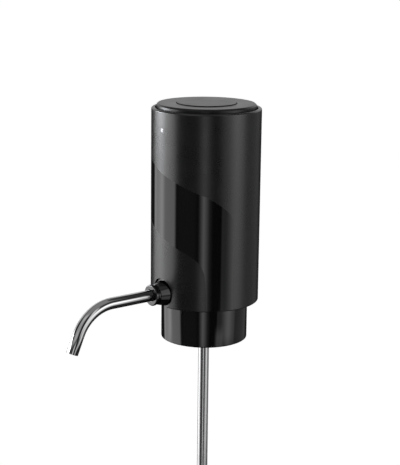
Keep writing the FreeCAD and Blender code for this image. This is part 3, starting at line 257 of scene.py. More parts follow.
def turned(name: str, corners: Outline, axis: Axis = Axis.UPRIGHT, centre: Triple = ORIGIN,
           steps: int = ROUND_STEPS, crease: float = CREASE) -> bpy.types.Object:
    """Makes one round piece from its outline.

    Args:
        name: the piece's name.
        corners: closed outline, each corner with an optional radius.
        axis: the axis's direction.
        centre: a point on the axis.
        steps: the number of columns round the axis.
        crease: edges that turn by more than this many degrees stay sharp.

    Returns:
        The new object.
    """
    shape = bmesh.new()
    add_turned(shape, softened(corners), axis, centre, steps)
    return finished_object(name, shape, crease)


def add_block(shape: bmesh.types.BMesh, low: Triple, high: Triple) -> None:
    """Adds a box between two corners to a shape.

    Args:
        shape: the shape that grows.
        low: the box's lowest corner.
        high: its highest corner.
    """
    middle = (Vector(low) + Vector(high)) / 2
    size = Vector(high) - Vector(low)
    place = Matrix.Translation(middle) @ Matrix.Diagonal((*size, 1.0))
    bmesh.ops.create_cube(shape, size=1.0, matrix=place)


def bevelled(piece: bpy.types.Object, width: float) -> bpy.types.Object:
    """Rounds a piece's sharp edges by a width in millimetres.

    Args:
        piece: the piece that is rounded.
        width: how far the rounding reaches.

    Returns:
        The same piece.
    """
    rim = piece.modifiers.new("rim", "BEVEL")
    rim.width = width * MM
    rim.segments = 2
    rim.limit_method = "ANGLE"
    rim.angle_limit = math.radians(BEVEL_LIMIT)
    apply_modifiers(piece)
    sharpen(piece.data, BEVEL_LIMIT)
    return piece


def carve(piece: bpy.types.Object, *cutters: bmesh.types.BMesh) -> None:
    """Cuts closed shapes in millimetres, which are freed, out of a piece.

    Args:
        piece: the piece that is cut.
        cutters: the shapes that are taken out of it.
    """
    for cutter in cutters:
        tool = finished_object(piece.name + "_cutter", cutter)
        cut = piece.modifiers.new("cut", "BOOLEAN")
        cut.operation = "DIFFERENCE"
        cut.solver = "EXACT"
        cut.object = tool
        apply_modifiers(piece)
        bpy.data.objects.remove(tool)
    sharpen(piece.data)


def stadium(reach: float, half: float) -> list[Pair]:
    """Points of a round-ended slot.

    Args:
        reach: distance from the middle to each round end's centre.
        half: half the slot's height.

    Returns:
        Its (x, z) points, in order.
    """
    points = []
    for side, first in ((1, -90), (-1, 90)):
        for step in range(SLOT_STEPS + 1):
            angle = math.radians(first + 180 * step / SLOT_STEPS)
            points.append((side * reach + half * math.cos(angle), half * math.sin(angle)))
    return points


def add_slots(shape: bmesh.types.BMesh, rings: list[Pair], reach: float, height: float) -> None:
    """Adds a level round-ended body along Y, closed at both ends.

    Args:
        shape: the shape that grows.
        rings: (half height, y) of each cross section, in order.
        reach: distance from the middle to each round end's centre.
        height: the body's middle height.
    """
    loops = [[shape.verts.new((x, y, height + z)) for x, z in stadium(reach, half)]
             for half, y in rings]
    made = add_strips(shape, loops)
    made += [shape.faces.new(loops[0]), shape.faces.new(loops[-1])]
    bmesh.ops.recalc_face_normals(shape, faces=made)


def facing_out(piece: bpy.types.Object) -> None:
    """Merges a mesh's doubles and turns its faces outwards.

    Args:
        piece: the piece whose mesh is mended.
    """
    shape = bmesh.new()
    shape.from_mesh(piece.data)
    bmesh.ops.remove_doubles(shape, verts=shape.verts, dist=TOUCHING * MM)
    bmesh.ops.recalc_face_normals(shape, faces=shape.faces)
    shape.to_mesh(piece.data)
    shape.free()


def smooth_line(points: tuple[Pair, ...], place: float) -> float:
    """Reads a smooth line through a few points.

    Args:
        points: (place, value) pairs in rising order of place.
        place: where to read it.

    Returns:
        The value there.
    """
    if place <= points[0][0]:
        return points[0][1]
    for number in range(len(points) - 1):
        start, finish = points[number], points[number + 1]
        if place > finish[0]:
            continue
        before = points[max(number - 1, 0)]
        after = points[min(number + 2, len(points) - 1)]
        width = finish[0] - start[0]
        slope_in = (finish[1] - before[1]) / (finish[0] - before[0]) * width
        slope_out = (after[1] - start[1]) / (after[0] - start[0]) * width
        share = (place - start[0]) / width
        square, cube = share ** 2, share ** 3
        return ((2 * cube - 3 * square + 1) * start[1] + (cube - 2 * square + share) * slope_in
                + (3 * square - 2 * cube) * finish[1] + (cube - square) * slope_out)
    return points[-1][1]


# Node tools


class Wiring:
    """Adds and links the nodes of one tree in few words."""

    def __init__(self, tree: bpy.types.NodeTree) -> None:
        """Takes the tree that grows."""
        self.tree = tree

    def feed(self, socket: bpy.types.NodeSocket, value: object) -> None:
        """Sets an input, or links it to a socket or to each of a list.

        Args:
            socket: the input.
            value: a plain value, a socket or a list of sockets.
        """
        for source in value if isinstance(value, list) else [value]:
            if isinstance(source, bpy.types.NodeSocket):
                self.tree.links.new(source, socket)
            else:
                socket.default_value = source

    def feed_all(self, node: bpy.types.Node, inputs: dict[str, object]) -> None:
        """Sets or links a node's inputs, with _ for a blank in their names."""
        for label, value in inputs.items():
            self.feed(node.inputs[label.replace("_", " ")], value)

    def add(self, kind: str, options: dict[str, str] | None = None, **inputs: object) -> bpy.types.Node:
        """Adds a node.

        Args:
            kind: the node's type.
            options: the node's own settings.
            inputs: values for its sockets, with _ for a blank in their names.

        Returns:
            The new node.
        """
        node = self.tree.nodes.new(kind)
        for label, value in (options or {}).items():
            setattr(node, label, value)
        self.feed_all(node, inputs)
        return node

    def made(self, kind: str, options: dict[str, str] | None = None, **inputs: object) -> Socket:
        """The first output of a new node."""
        return self.add(kind, options, **inputs).outputs[0]

    def maths(self, operation: str, *values: object, kind: str = "ShaderNodeMath") -> Socket:
        """The result of a sum on numbers, vectors or sockets.

        Args:
            operation: what is done.
            values: the sum's terms, in order.
            kind: the node that does it, on numbers unless another is named.

        Returns:
            The result's socket.
        """
        node = self.add(kind, {"operation": operation})
        for socket, value in zip(node.inputs, values):
            self.feed(socket, value)
        return node.outputs[0]


class Sketch(Wiring):
    """Builds one material's nodes."""

    def __init__(self, name: str) -> None:
        """Starts a material with its surface shader.

        Args:
            name: the material's name.
        """
        self.material = bpy.data.materials.new(name)
        self.material.use_nodes = True
        super().__init__(self.material.node_tree)
        self.shader = self.tree.nodes["Principled BSDF"]
        self.place = self.add("ShaderNodeTexCoord").outputs["Object"]

    def set(self, **inputs: object) -> None:
        """Sets or links the shader's inputs, with _ for a blank in their names."""
        self.feed_all(self.shader, inputs)

    def stretched(self, scale: Triple) -> Socket:
        """The object's coordinates, scaled by axis."""
        return self.made("ShaderNodeMapping", Vector=self.place, Scale=scale)

    def noise(self, size: float, detail: float = 2.0, stretch: Triple = PLAIN) -> Socket:
        """A cloudy pattern.

        Args:
            size: the size of its lumps in millimetres.
            detail: how many finer layers it has.
            stretch: scale of the coordinates along each axis.

        Returns:
            Its value socket.
        """
        place = self.place if stretch == PLAIN else self.stretched(stretch)
        return self.made("ShaderNodeTexNoise", Vector=place, Scale=1 / (size * MM), Detail=detail)

    def spread(self, value: Socket, low: float, high: float, start: float = 0.3,
               stop: float = 0.7) -> Socket:
        """Maps a pattern onto a range of values.

        Args:
            value: the pattern.
            low: the result where the pattern is at its start.
            high: the result where it is at its stop.
            start: the pattern's value that gives low.
            stop: the pattern's value that gives high.

        Returns:
            The result's socket.
        """
        return self.made("ShaderNodeMapRange", Value=value, From_Min=start, From_Max=stop,
                         To_Min=low, To_Max=high)

    def tinted(self, value: Socket, first: Triple, second: Triple) -> Socket:
        """A colour between two, chosen by a pattern.

        Args:
            value: the pattern.
            first: the colour where it is 0.
            second: the colour where it is 1.

        Returns:
            The colour's socket.
        """
        ramp = self.add("ShaderNodeValToRGB", Fac=value)
        for element, colour in zip(ramp.color_ramp.elements, (first, second)):
            element.color = (*colour, 1.0)
        return ramp.outputs["Color"]

    def shaded(self, value: Socket, colour: Triple, dark: float, light: float) -> Socket:
        """One colour, made darker and lighter by a pattern."""
        return self.tinted(value, tone(colour, dark), tone(colour, light))

    def bumped(self, height: Socket, depth: float) -> Socket:
        """Normals roughened by a pattern, to a depth in millimetres."""
        return self.made("ShaderNodeBump", Height=height, Distance=depth * MM, Strength=1.0)


# Finishes


def tone(colour: Triple, share: float) -> Triple:
    """A colour made lighter or darker."""
    return tuple(min(1.0, part * share) for part in colour)


@dataclass(frozen=True)
class Finish:
    """What a surface is made of and how it is finished."""

    name: str
    colour: Triple
    roughness: float

    def material(self) -> bpy.types.Material:
        """The finish's material, made once.

        Returns:
            The material.
        """
        if self.name not in made_materials:
            sketch = Sketch(self.name)
            self.draw(sketch)
            made_materials[self.name] = sketch.material
        return made_materials[self.name]

    def draw(self, sketch: Sketch) -> None:
        """Draws the finish's nodes."""
        raise NotImplementedError


@dataclass(frozen=True)
class Surface(Finish):
    """A surface with slow changes of colour and sheen over a fine texture.

    The slow and the fine pattern are the size of their lumps in millimetres and their finer layers,
    and the slow one may have a stretch. The shades are the darkest and lightest share of the colour,
    and the sheens are what is added to the roughness.
    """

    slow: tuple[float, ...] | tuple[float, float, Triple] = (6.0, 2.0)
    fine: Pair | None = None
    stretch: Triple = PLAIN
    depth: float = 0.0
    shades: Pair = (0.95, 1.05)
    sheens: Pair = (0.0, 0.0)
    sheen_layer: Layer = Layer.SLOW
    shine: float = 0.5
    metallic: float = 0.0
    coat: float = 0.0
    coat_roughness: float = 0.1
    cloudiness: float = 0.0

    def sheen_range(self) -> Pair:
        """The lowest and the highest roughness."""
        return self.roughness + self.sheens[0], self.roughness + self.sheens[1]

    def draw(self, sketch: Sketch) -> None:
        """Draws both patterns and what they change.

        Args:
            sketch: the material that grows.
        """
        slow = sketch.noise(*self.slow)
        fine = sketch.noise(*self.fine, self.stretch) if self.fine else slow
        worn = fine if self.sheen_layer is Layer.FINE else slow
        sketch.set(Base_Color=sketch.shaded(slow, self.colour, *self.shades),
                   Roughness=sketch.spread(worn, *self.sheen_range()),
                   Metallic=self.metallic, Specular_IOR_Level=self.shine)
        if self.depth:
            sketch.set(Normal=sketch.bumped(fine, self.depth))
        if self.coat:
            sketch.set(Coat_Weight=self.coat, Coat_Roughness=self.coat_roughness)
        if self.cloudiness:
            sketch.set(Subsurface_Weight=self.cloudiness, Subsurface_Radius=(2 * MM,) * 3,
                       Subsurface_Scale=1.0)


@dataclass(frozen=True)
class SatinCoat(Surface):
    """Soft satin paint with a fine sprayed grain."""

    slow: Pair = (9.0, 3.0)
    fine: Pair = (0.22, 2.0)
    depth: float = 0.002
    shades: Pair = (0.9, 1.12)
    sheens: Pair = (-0.02, 0.02)
    shine: float = 0.9


@dataclass(frozen=True)
class GlossCoat(Surface):
    """Mirror-smooth lacquered plastic with a faint moulding wave and faint wiping marks."""

    slow: Pair = (5.0, 4.0)
    fine: Pair = (14.0, 1.0)
    depth: float = 0.012
    shades: Pair = (0.92, 1.1)
    sheens: Pair = (0.0, 0.025)
    shine: float = 0.9


@dataclass(frozen=True)
class Steel(Surface):
    """Drawn metal with fine lines along its length and slow changes of polish."""

    fine: Pair = (0.12, 3.0)
    depth: float = 0.0005
    shades: Pair = (0.96, 1.03)
    sheen_layer: Layer = Layer.FINE
    metallic: float = 1.0
    worn: float = 1.6

    def sheen_range(self) -> Pair:
        """The lowest and the highest roughness, further apart on a duller metal."""
        return self.roughness, self.roughness * self.worn


@dataclass(frozen=True)
class MirrorSteel(Surface):
    """Steel polished by hand to a mirror, with slow haze and a very shallow ripple."""

    slow: Pair = (5.0, 3.0)
    fine: Pair = (2.2, 2.0)
    depth: float = 0.002
    shades: Pair = (0.97, 1.02)
    sheens: Pair = (0.0, 0.03)
    metallic: float = 1.0


@dataclass(frozen=True)
class Rubber(Surface):
    """Moulded rubber with a dull bloom."""

    slow: Pair = (4.0, 4.0)
    fine: Pair = (0.15, 2.0)
    depth: float = 0.004
    shades: Pair = (0.85, 1.25)
    sheens: Pair = (-0.06, 0.06)
    shine: float = 0.4


@dataclass(frozen=True)
class Moulding(Surface):
    """Plain injection-moulded plastic with spark-eroded texture and faint flow marks."""

    slow: tuple[float, float, Triple] = (7.0, 3.0, (1.0, 1.0, 0.4))
    fine: Pair = (0.3, 2.0)
    depth: float = 0.006
    shades: Pair = (0.94, 1.05)
    sheens: Pair = (-0.05, 0.05)
    sheen_layer: Layer = Layer.FINE


@dataclass(frozen=True)
class MilkyPlastic(Surface):
    """Cloudy food-safe plastic that lets some light through."""

    slow: Pair = (3.0, 3.0)
    shades: Pair = (0.95, 1.04)
    sheens: Pair = (0.0, 0.08)
    cloudiness: float = 0.4


@dataclass(frozen=True)
class ShrunkFilm(Surface):
    """Shrunk film sleeve with soft wrinkles."""

    slow: tuple[float, float, Triple] = (2.5, 2.0, (1.0, 1.0, 0.25))
    depth: float = 0.03
    shades: Pair = (0.9, 1.15)
    sheens: Pair = (0.0, 0.08)
    coat: float = 0.4


@dataclass(frozen=True)
class LitLamp(Finish):
    """The lit end of a light pipe."""

    glow: float = 0.5
    rim_glow: float = 0.07
    height: float = 101.7
    radius: float = 1.15
    core: float = 0.3
    grain: float = 0.5
    darkest: float = 0.94

    def draw(self, sketch: Sketch) -> None:
        """Draws milky plastic that glows most along the pipe's axis.

        Args:
            sketch: the material that grows.
        """
        across = sketch.add("ShaderNodeVectorMath", {"operation": "DISTANCE"},
                            Vector=sketch.stretched((1.0, 0.0, 1.0)))
        across.inputs[1].default_value = (0.0, 0.0, self.height * MM)
        glow = sketch.spread(across.outputs["Value"], self.glow, self.rim_glow,
                             self.core * self.radius * MM, self.radius * MM)
        sketch.set(Base_Color=sketch.shaded(sketch.noise(self.grain, 1.0), self.colour, self.darkest, 1.0),
                   Roughness=self.roughness, Emission_Color=(*self.colour, 1.0), Emission_Strength=glow)


@dataclass(frozen=True)
class CircuitBoard(Finish):
    """Coated circuit board with copper tracks under the coat."""

    copper: Triple = (0.06, 0.34, 0.16)
    track_pitch: float = 3.2
    track_width: float = 0.07
    pale: float = 1.25
    haze: float = 0.1
    depth: float = 0.02

    def draw(self, sketch: Sketch) -> None:
        """Draws tracks, pads and the woven board's fine texture.

        Args:
            sketch: the material that grows.
        """
        tracks = sketch.add("ShaderNodeTexBrick", Vector=sketch.place, Scale=1 / (self.track_pitch * MM),
                            Mortar_Size=self.track_width, Color1=(*self.colour, 1.0),
                            Color2=(*tone(self.colour, self.pale), 1.0), Mortar=(*self.copper, 1.0))
        sketch.set(Base_Color=tracks.outputs["Color"],
                   Roughness=sketch.spread(sketch.noise(2.0), self.roughness, self.roughness + self.haze),
                   Normal=sketch.bumped(tracks.outputs["Fac"], self.depth))


@dataclass(frozen=True)
class WoundIron(Finish):
    """Stacked iron sheets with enamelled copper wire between them."""

    copper: Triple = (0.5, 0.2, 0.08)
    sheet_pitch: float = 1.2
    waver: float = 0.4
    patch: float = 5.0
    haze: float = 0.15
    depth: float = 0.03

    def draw(self, sketch: Sketch) -> None:
        """Draws the sheets as level lines and the copper in patches.

        Args:
            sketch: the material that grows.
        """
        sheets = sketch.add("ShaderNodeTexWave", {"bands_direction": "Z"}, Vector=sketch.place,
                            Scale=1 / (self.sheet_pitch * MM), Distortion=self.waver).outputs["Fac"]
        sketch.set(Base_Color=sketch.tinted(sketch.noise(self.patch, 1.0), self.copper, self.colour),
                   Metallic=1.0, Normal=sketch.bumped(sheets, self.depth),
                   Roughness=sketch.spread(sheets, self.roughness, self.roughness + self.haze))


@dataclass(frozen=True)
class RibbedCable(Finish):
    """Flat cable or wire sheath with its cores showing as fine ridges."""

    pitch: float = 1.0
    waves: float = 3.2
    valley: float = 0.8
    haze: float = 0.1
    depth: float = 0.04

    def draw(self, sketch: Sketch) -> None:
        """Draws one ridge for each core.

        Args:
            sketch: the material that grows.
        """
        ridges = sketch.add("ShaderNodeTexWave", Vector=sketch.place,
                            Scale=1 / (self.pitch * self.waves * MM)).outputs["Fac"]
        sketch.set(Base_Color=sketch.shaded(ridges, self.colour, self.valley, 1.0),
                   Roughness=sketch.spread(sketch.noise(1.0), self.roughness, self.roughness + self.haze),
                   Normal=sketch.bumped(ridges, self.depth))


FINISHES: dict[str, Finish] = {
    "housing_black": SatinCoat("satin_black", (0.008, 0.008, 0.0085), 0.28),
    "gloss_black": GlossCoat("black_lacquer", (0.003, 0.003, 0.0035), 0.04),
    # The button's side wall, darker and duller than its top: painted shade of the gap round the button.
    "button_gap_shade": Moulding("button_gap_shade", (0.006, 0.006, 0.006), 0.6, shine=0.2),
    "cap_black": SatinCoat("cap_satin", (0.012, 0.012, 0.0125), 0.32, shine=0.5),
    "button_black": SatinCoat("button_satin", (0.011, 0.011, 0.0115), 0.34, shine=0.5),
    "spout_steel": MirrorSteel("mirror_steel", (0.68, 0.68, 0.69), 0.03),
    "tube_steel": Steel("drawn_steel", (0.72, 0.72, 0.73), 0.16, stretch=(1.0, 1.0, 0.04)),
    "food_rubber": Rubber("food_silicone", (0.04, 0.04, 0.045), 0.55),
    "clear_lamp": LitLamp("lit_lamp", (0.95, 0.97, 1.0), 0.3),
    "inner_plastic": Moulding("grey_moulding", (0.55, 0.56, 0.57), 0.45),
    "clear_plastic": MilkyPlastic("milky_plastic", (0.8, 0.82, 0.82), 0.2),
    "screw_steel": Steel("plated_screw", (0.6, 0.6, 0.61), 0.22),
    "spring_steel": Steel("spring_wire", (0.55, 0.55, 0.56), 0.2),
    "can_steel": Steel("drawn_can", (0.62, 0.62, 0.63), 0.25, stretch=(1.0, 1.0, 0.05)),
    "magnet": Moulding("ferrite", (0.13, 0.13, 0.14), 0.6),
    "rotor_iron": WoundIron("wound_iron", (0.45, 0.42, 0.4), 0.35),
    "bush_brass": Steel("turned_brass", (0.72, 0.55, 0.26), 0.2, stretch=(1.0, 1.0, 6.0)),
    "contact_nickel": Steel("nickel_strip", (0.66, 0.65, 0.62), 0.2, stretch=(1.0, 0.2, 1.0)),
    "diaphragm_rubber": Rubber("moulded_rubber", (0.12, 0.12, 0.13), 0.6),
    "cell_sleeve": ShrunkFilm("cell_film", (0.1, 0.22, 0.5), 0.3),
    "board_green": CircuitBoard("coated_board", (0.03, 0.2, 0.09), 0.3),
    "chip_black": Moulding("chip_case", (0.03, 0.03, 0.03), 0.5),
    "ribbon_white": RibbedCable("flat_cable", (0.75, 0.75, 0.72), 0.4),
    "wire_sheath": RibbedCable("red_sheath", (0.45, 0.04, 0.03), 0.4, pitch=0.6),
}


def dress(piece: bpy.types.Object, slot: str, body: str, *nodes: str) -> None:
    """Gives a piece its finish, its body and the nodes that it stands for.

    Args:
        piece: the finished piece.
        slot: the record's material slot.
        body: the body that carries it.
        nodes: the model's nodes that it replaces.
    """
    if not piece.data.materials:
        piece.data.materials.append(FINISHES[slot].material())
    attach(piece, body)
    if nodes:
        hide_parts(*nodes)
    log.info("%s: %d faces on %s", piece.name, len(piece.data.polygons), body)


# Geometry Nodes tools


class Grower(Wiring):
    """Builds a Geometry Nodes tree with named inputs and turns it into a plain mesh."""

    def __init__(self, name: str, sizes: dict[str, float | Triple]) -> None:
        """Starts a tree.

        Args:
            name: the piece's name.
            sizes: the named inputs and their values, in metres.
        """
        super().__init__(bpy.data.node_groups.new(name, "GeometryNodeTree"))
        self.name = name
        self.sizes = sizes
        face = self.tree.interface
        for way in ("INPUT", "OUTPUT"):
            face.new_socket("Geometry", in_out=way, socket_type="NodeSocketGeometry")
        for label, value in sizes.items():
            kind = "NodeSocketVector" if isinstance(value, tuple) else "NodeSocketFloat"
            face.new_socket(label, in_out="INPUT", socket_type=kind)
        self.given = self.add("NodeGroupInput").outputs

    def vector(self, x: object = 0.0, y: object = 0.0, z: object = 0.0) -> Socket:
        """A vector from three numbers or sockets."""
        return self.made("ShaderNodeCombineXYZ", X=x, Y=y, Z=z)

    def moved(self, shape: Socket, place: object, turn: Triple = ORIGIN) -> Socket:
        """A geometry, turned and then moved."""
        return self.made("GeometryNodeTransform", Geometry=shape, Translation=place, Rotation=turn)

    def along_z(self, shape: Socket, size: str, share: float) -> Socket:
        """A geometry, moved up by a share of a named size."""
        return self.moved(shape, self.vector(z=self.maths("MULTIPLY", self.given[size], share)))

    def swept(self, path: Socket, radius: str, steps: int, caps: bool) -> Socket:
        """A round bar along a path.

        Args:
            path: the curve that it follows.
            radius: the name of its radius.
            steps: the number of columns round it.
            caps: whether its ends are closed.

        Returns:
            The bar.
        """
        section = self.made("GeometryNodeCurvePrimitiveCircle", Resolution=steps,
                            Radius=self.given[radius])
        return self.made("GeometryNodeCurveToMesh", Curve=path, Profile_Curve=section, Fill_Caps=caps)

    def grow(self, result: Socket, finish: Finish, seeds: bpy.types.Mesh | None = None) -> bpy.types.Object:
        """Ends the tree, runs it and keeps its plain mesh.

        Args:
            result: the geometry that the tree makes.
            finish: the finish that it gets.
            seeds: the mesh that goes into the tree.

        Returns:
            The new object, at the origin.
        """
        real = self.made("GeometryNodeRealizeInstances", Geometry=result)
        dressed = self.made("GeometryNodeSetMaterial", Geometry=real, Material=finish.material())
        self.add("NodeGroupOutput", Geometry=dressed)
        piece = bpy.data.objects.new(self.name, seeds or bpy.data.meshes.new(self.name + "_seed"))
        bpy.context.scene.collection.objects.link(piece)
        grower = piece.modifiers.new("grow", "NODES")
        grower.node_group = self.tree
        for item in self.tree.interface.items_tree:
            if item.in_out == "INPUT" and item.name in self.sizes:
                grower[item.identifier] = self.sizes[item.name]
        apply_modifiers(piece)
        mesh = piece.data
        bpy.data.objects.remove(piece)
        return object_from_mesh(self.name, mesh)


# The housing and what it carries


@dataclass
class Housing:
    """The tall satin cylinder with its glossy band, status lamp and charging socket."""

    radius: float = 30.0
    wall: float = 2.0
    bottom: float = 5.0
    floor_top: float = 7.0
    rim: float = 112.0
    rim_round: float = 0.9
    rim_steps: int = 7
    edge_round: float = 0.5
    edge_steps: int = 4
    lip: float = 0.2
    lip_cut: float = 0.06
    columns: int = 360
    least_band: float = 0.2
    wall_fit: float = 0.02
    level_fit: float = 0.1
    hub_radius: float = 6.75
    spout_height: float = 12.2
    face_radius: float = 8.3
    face_y: float = -28.3
    snout_radius: float = 6.45
    lamp_height: float = 101.7
    lamp_radius: float = 0.7
    lamp_head: float = 1.15
    lamp_back: float = -16.6
    lamp_seat: float = -29.97
    lamp_front: float = -30.1
    lamp_edge: float = 0.04
    lamp_crown: float = 0.5
    crown_round: float = 2.5
    lamp_gap: float = 0.05
    lamp_steps: int = 32
    port_height: float = 24.0
    port_reach: float = 2.84
    port_half: float = 1.63
    port_back: float = 21.6
    port_mouth: float = 28.9
    port_gap: float = 0.3
    port_wall: float = 0.35
    port_lip: float = 0.06
    tongue_half: float = 0.35
    tongue_end: float = 27.7
    band_rows: int = 8
    band_start: float = -150.0
    band_tail: float = 209.0
    band_corner: float = -31.0
    band_inner_corner: float = -2.0
    upper_edge: tuple[Pair, ...] = (
        (-150.0, 103.9), (-110.0, 92.0), (-70.0, 68.0), (-31.0, 50.0), (-30.0, 55.2), (-24.7, 59.4),
        (-17.5, 62.6), (-9.7, 65.4), (-1.5, 67.9), (12.7, 70.8), (28.0, 74.0), (49.4, 78.3),
        (72.0, 83.3), (110.0, 90.6), (150.0, 97.0), (180.0, 101.0), (198.0, 103.1), (210.0, 104.3))
    lower_edge: tuple[Pair, ...] = (
        (-150.0, 103.7), (-110.0, 80.0), (-70.0, 40.0), (-31.0, 10.0), (-2.0, 10.0), (-1.0, 20.0),
        (0.0, 25.2), (3.0, 29.6), (6.8, 32.4), (15.2, 35.6), (30.4, 39.2), (51.3, 44.1), (72.0, 49.2),
        (110.0, 60.2), (145.0, 75.5), (170.0, 89.0), (190.0, 98.6), (201.0, 102.4), (210.0, 104.1))

    def profile(self, side: float) -> list[tuple[float, float, int]]:
        """The wall's cross section at one angle.

        Args:
            side: the angle left of the photo's camera, in degrees.

        Returns:
            Closed (radius, height, row band) points, from the hub hole outwards.
        """
        low, high = self.bottom + self.edge_round, self.rim - self.rim_round
        lower = smooth_line(self.lower_edge, side)
        upper = max(smooth_line(self.upper_edge, side), lower + self.least_band)
        points = [(self.hub_radius, self.bottom, 0), (self.radius - self.wall * 2, self.bottom, 0)]
        for step in range(self.edge_steps + 1):
            angle = math.radians(90 * step / self.edge_steps)
            points.append((self.radius - self.edge_round * (1 - math.sin(angle)),
                           low - self.edge_round * math.cos(angle), 0))
        for band, (start, stop) in enumerate(((low, lower), (lower, upper), (upper, high))):
            for row in range(self.band_rows):
                share = (row + 1) / self.band_rows
                points.append((self.radius, start + (stop - start) * share, band))
        for step in range(1, self.rim_steps + 1):
            angle = math.radians(90 * step / self.rim_steps)
            points.append((self.radius - self.rim_round * (1 - math.cos(angle)),
                           high + self.rim_round * math.sin(angle), 3))
        inner = self.radius - self.wall
        return points + [(inner + self.lip, self.rim, 3), (inner + self.lip_cut, self.rim - self.lip_cut, 3),
                         (inner, self.rim - self.lip, 3), (inner, self.floor_top, 3),
                         (self.hub_radius, self.floor_top, 3)]

    def zone(self, side: float, band: int) -> Zone:
        """Whether a face is satin or gloss.

        Args:
            side: the angle of its middle left of the photo's camera, in degrees.
            band: its row band, counted from the bottom.

        Returns:
            Its zone.
        """
        end = {0: self.band_inner_corner, 1: self.band_tail}.get(band, self.band_corner)
        return Zone.GLOSS if self.band_corner < side < end else Zone.SATIN

    def shell(self) -> None:
        """The housing, one closed shell whose faces follow the glossy band's edges."""
        shape = bmesh.new()
        columns, sides, bands = [], [], []
        for number in range(self.columns):
            angle = number + 0.5
            side = PHOTO_AZIMUTH - angle
            side = side + 360 if side < self.band_start else side
            sides.append(side)
            sine, cosine = math.sin(math.radians(angle)), math.cos(math.radians(angle))
            points = self.profile(side)
            columns.append([shape.verts.new((radius * sine, -radius * cosine, height))
                            for radius, height, _ in points])
            bands = [band for _, _, band in points[1:]] + [3]
        made = add_strips(shape, columns + columns[:1])
        for number, face in enumerate(made):
            column, row = divmod(number, len(bands))
            face.material_index = self.zone(sides[column] - 0.5, bands[row]).value
        bmesh.ops.recalc_face_normals(shape, faces=made)
        piece = finished_object("housing_body", shape)
        for slot in ("housing_black", "gloss_black"):
            piece.data.materials.append(FINISHES[slot].material())
        carve(piece, *self.openings())
        self.straighten(piece)
        dress(piece, "housing_black", "housing", "housing_shell")

    def openings(self) -> list[bmesh.types.BMesh]:
        """The flat face round the spout, the bore in it, the lamp's hole and the socket's slot.

        Returns:
            The closed shapes that are cut out of the wall.
        """
        spot, lamp, slot = bmesh.new(), bmesh.new(), bmesh.new()
        centre = (0.0, 0.0, self.spout_height)
        past = -self.radius - 1
        inside = -self.radius + self.wall + 2
        add_turned(spot, [(0, past), (self.face_radius, past), (self.face_radius, self.face_y),
                          (self.snout_radius, self.face_y), (self.snout_radius, inside), (0, inside)],
                   Axis.SPOUT, centre, TUBE_STEPS)
        hole = self.lamp_radius + self.lamp_gap
        add_turned(lamp, [(0, past), (hole, past), (hole, inside), (0, inside)], Axis.SPOUT,
                   (0.0, 0.0, self.lamp_height), HOLE_STEPS)
        add_slots(slot, [(self.port_half + self.port_gap, -inside), (self.port_half + self.port_gap, -past)],
                  self.port_reach, self.port_height)
        return [spot, lamp, slot]

    def straighten(self, piece: bpy.types.Object) -> None:
        """Gives the outer wall exactly round normals, so that its reflections stay smooth.

        Args:
            piece: the housing, already cut.
        """
        mesh = piece.data
        normals = [Vector(ORIGIN)] * len(mesh.loops)
        low, high = (self.bottom + self.edge_round) * MM, (self.rim - self.rim_round) * MM
        for face in mesh.polygons:
            middle = Vector((face.center.x, face.center.y))
            if middle.length < (self.radius - self.wall_fit) * MM or abs(face.normal.z) > self.level_fit:
                continue
            for loop in face.loop_indices:
                place = mesh.vertices[mesh.loops[loop].vertex_index].co
                if low - TOUCHING * MM <= place.z <= high + TOUCHING * MM:
                    normals[loop] = Vector((place.x, place.y, 0.0)).normalized()
        mesh.normals_split_custom_set(normals)

    def lamp(self) -> None:
        """The light pipe with its thin domed head, which lies on the wall."""
        outline = [(0, self.lamp_back), (self.lamp_radius, self.lamp_back),
                   (self.lamp_radius, self.lamp_seat), (self.lamp_head, self.lamp_seat),
                   (self.lamp_head, self.lamp_seat - self.lamp_edge),
                   (self.lamp_crown, self.lamp_front, self.crown_round), (0, self.lamp_front)]
        piece = turned("lamp_dot", outline, Axis.SPOUT, (0.0, 0.0, self.lamp_height),
                       self.lamp_steps)
        dress(piece, "clear_lamp", "housing", "lamp_pipe")

    def socket(self) -> None:
        """The charging socket's drawn shell and its tongue."""
        shape = bmesh.new()
        inner = self.port_half - self.port_wall
        lip = self.port_lip
        add_slots(shape, [(self.port_half, self.port_back), (self.port_half, self.port_mouth - lip),
                          (self.port_half - lip, self.port_mouth), (inner + lip, self.port_mouth),
                          (inner, self.port_mouth - lip), (inner, self.port_back + 1)],
                  self.port_reach, self.port_height)
        add_block(shape, (-self.port_reach, self.port_back + 1, self.port_height - self.tongue_half),
                  (self.port_reach, self.tongue_end, self.port_height + self.tongue_half))
        piece = finished_object("charge_socket_shell", shape)
        dress(piece, "contact_nickel", "housing", "charge_port")

    def build(self) -> None:
        """Builds the housing, its lamp and its socket."""
        self.shell()
        self.lamp()
        self.socket()


@dataclass
class Skirt:
    """The short glossy cylinder that hides the bottle's mouth."""

    radius: float = 24.0
    wall: float = 2.0
    bottom: float = -17.0
    ceiling: float = 3.0
    top: float = 5.0
    edge_round: float = 0.5
    lip_round: float = 0.2
    top_round: float = 0.1
    hub_radius: float = 6.75

    def build(self) -> None:
        """Builds the skirt."""
        inner = self.radius - self.wall
        outline = [(self.hub_radius, self.top), (self.radius, self.top, self.top_round),
                   (self.radius, self.bottom, self.edge_round), (inner, self.bottom, self.lip_round),
                   (inner, self.ceiling, self.edge_round), (self.hub_radius, self.ceiling)]
        piece = turned("base_skirt_shell", outline, steps=WIDE_STEPS)
        dress(piece, "gloss_black", "housing", "base_skirt")


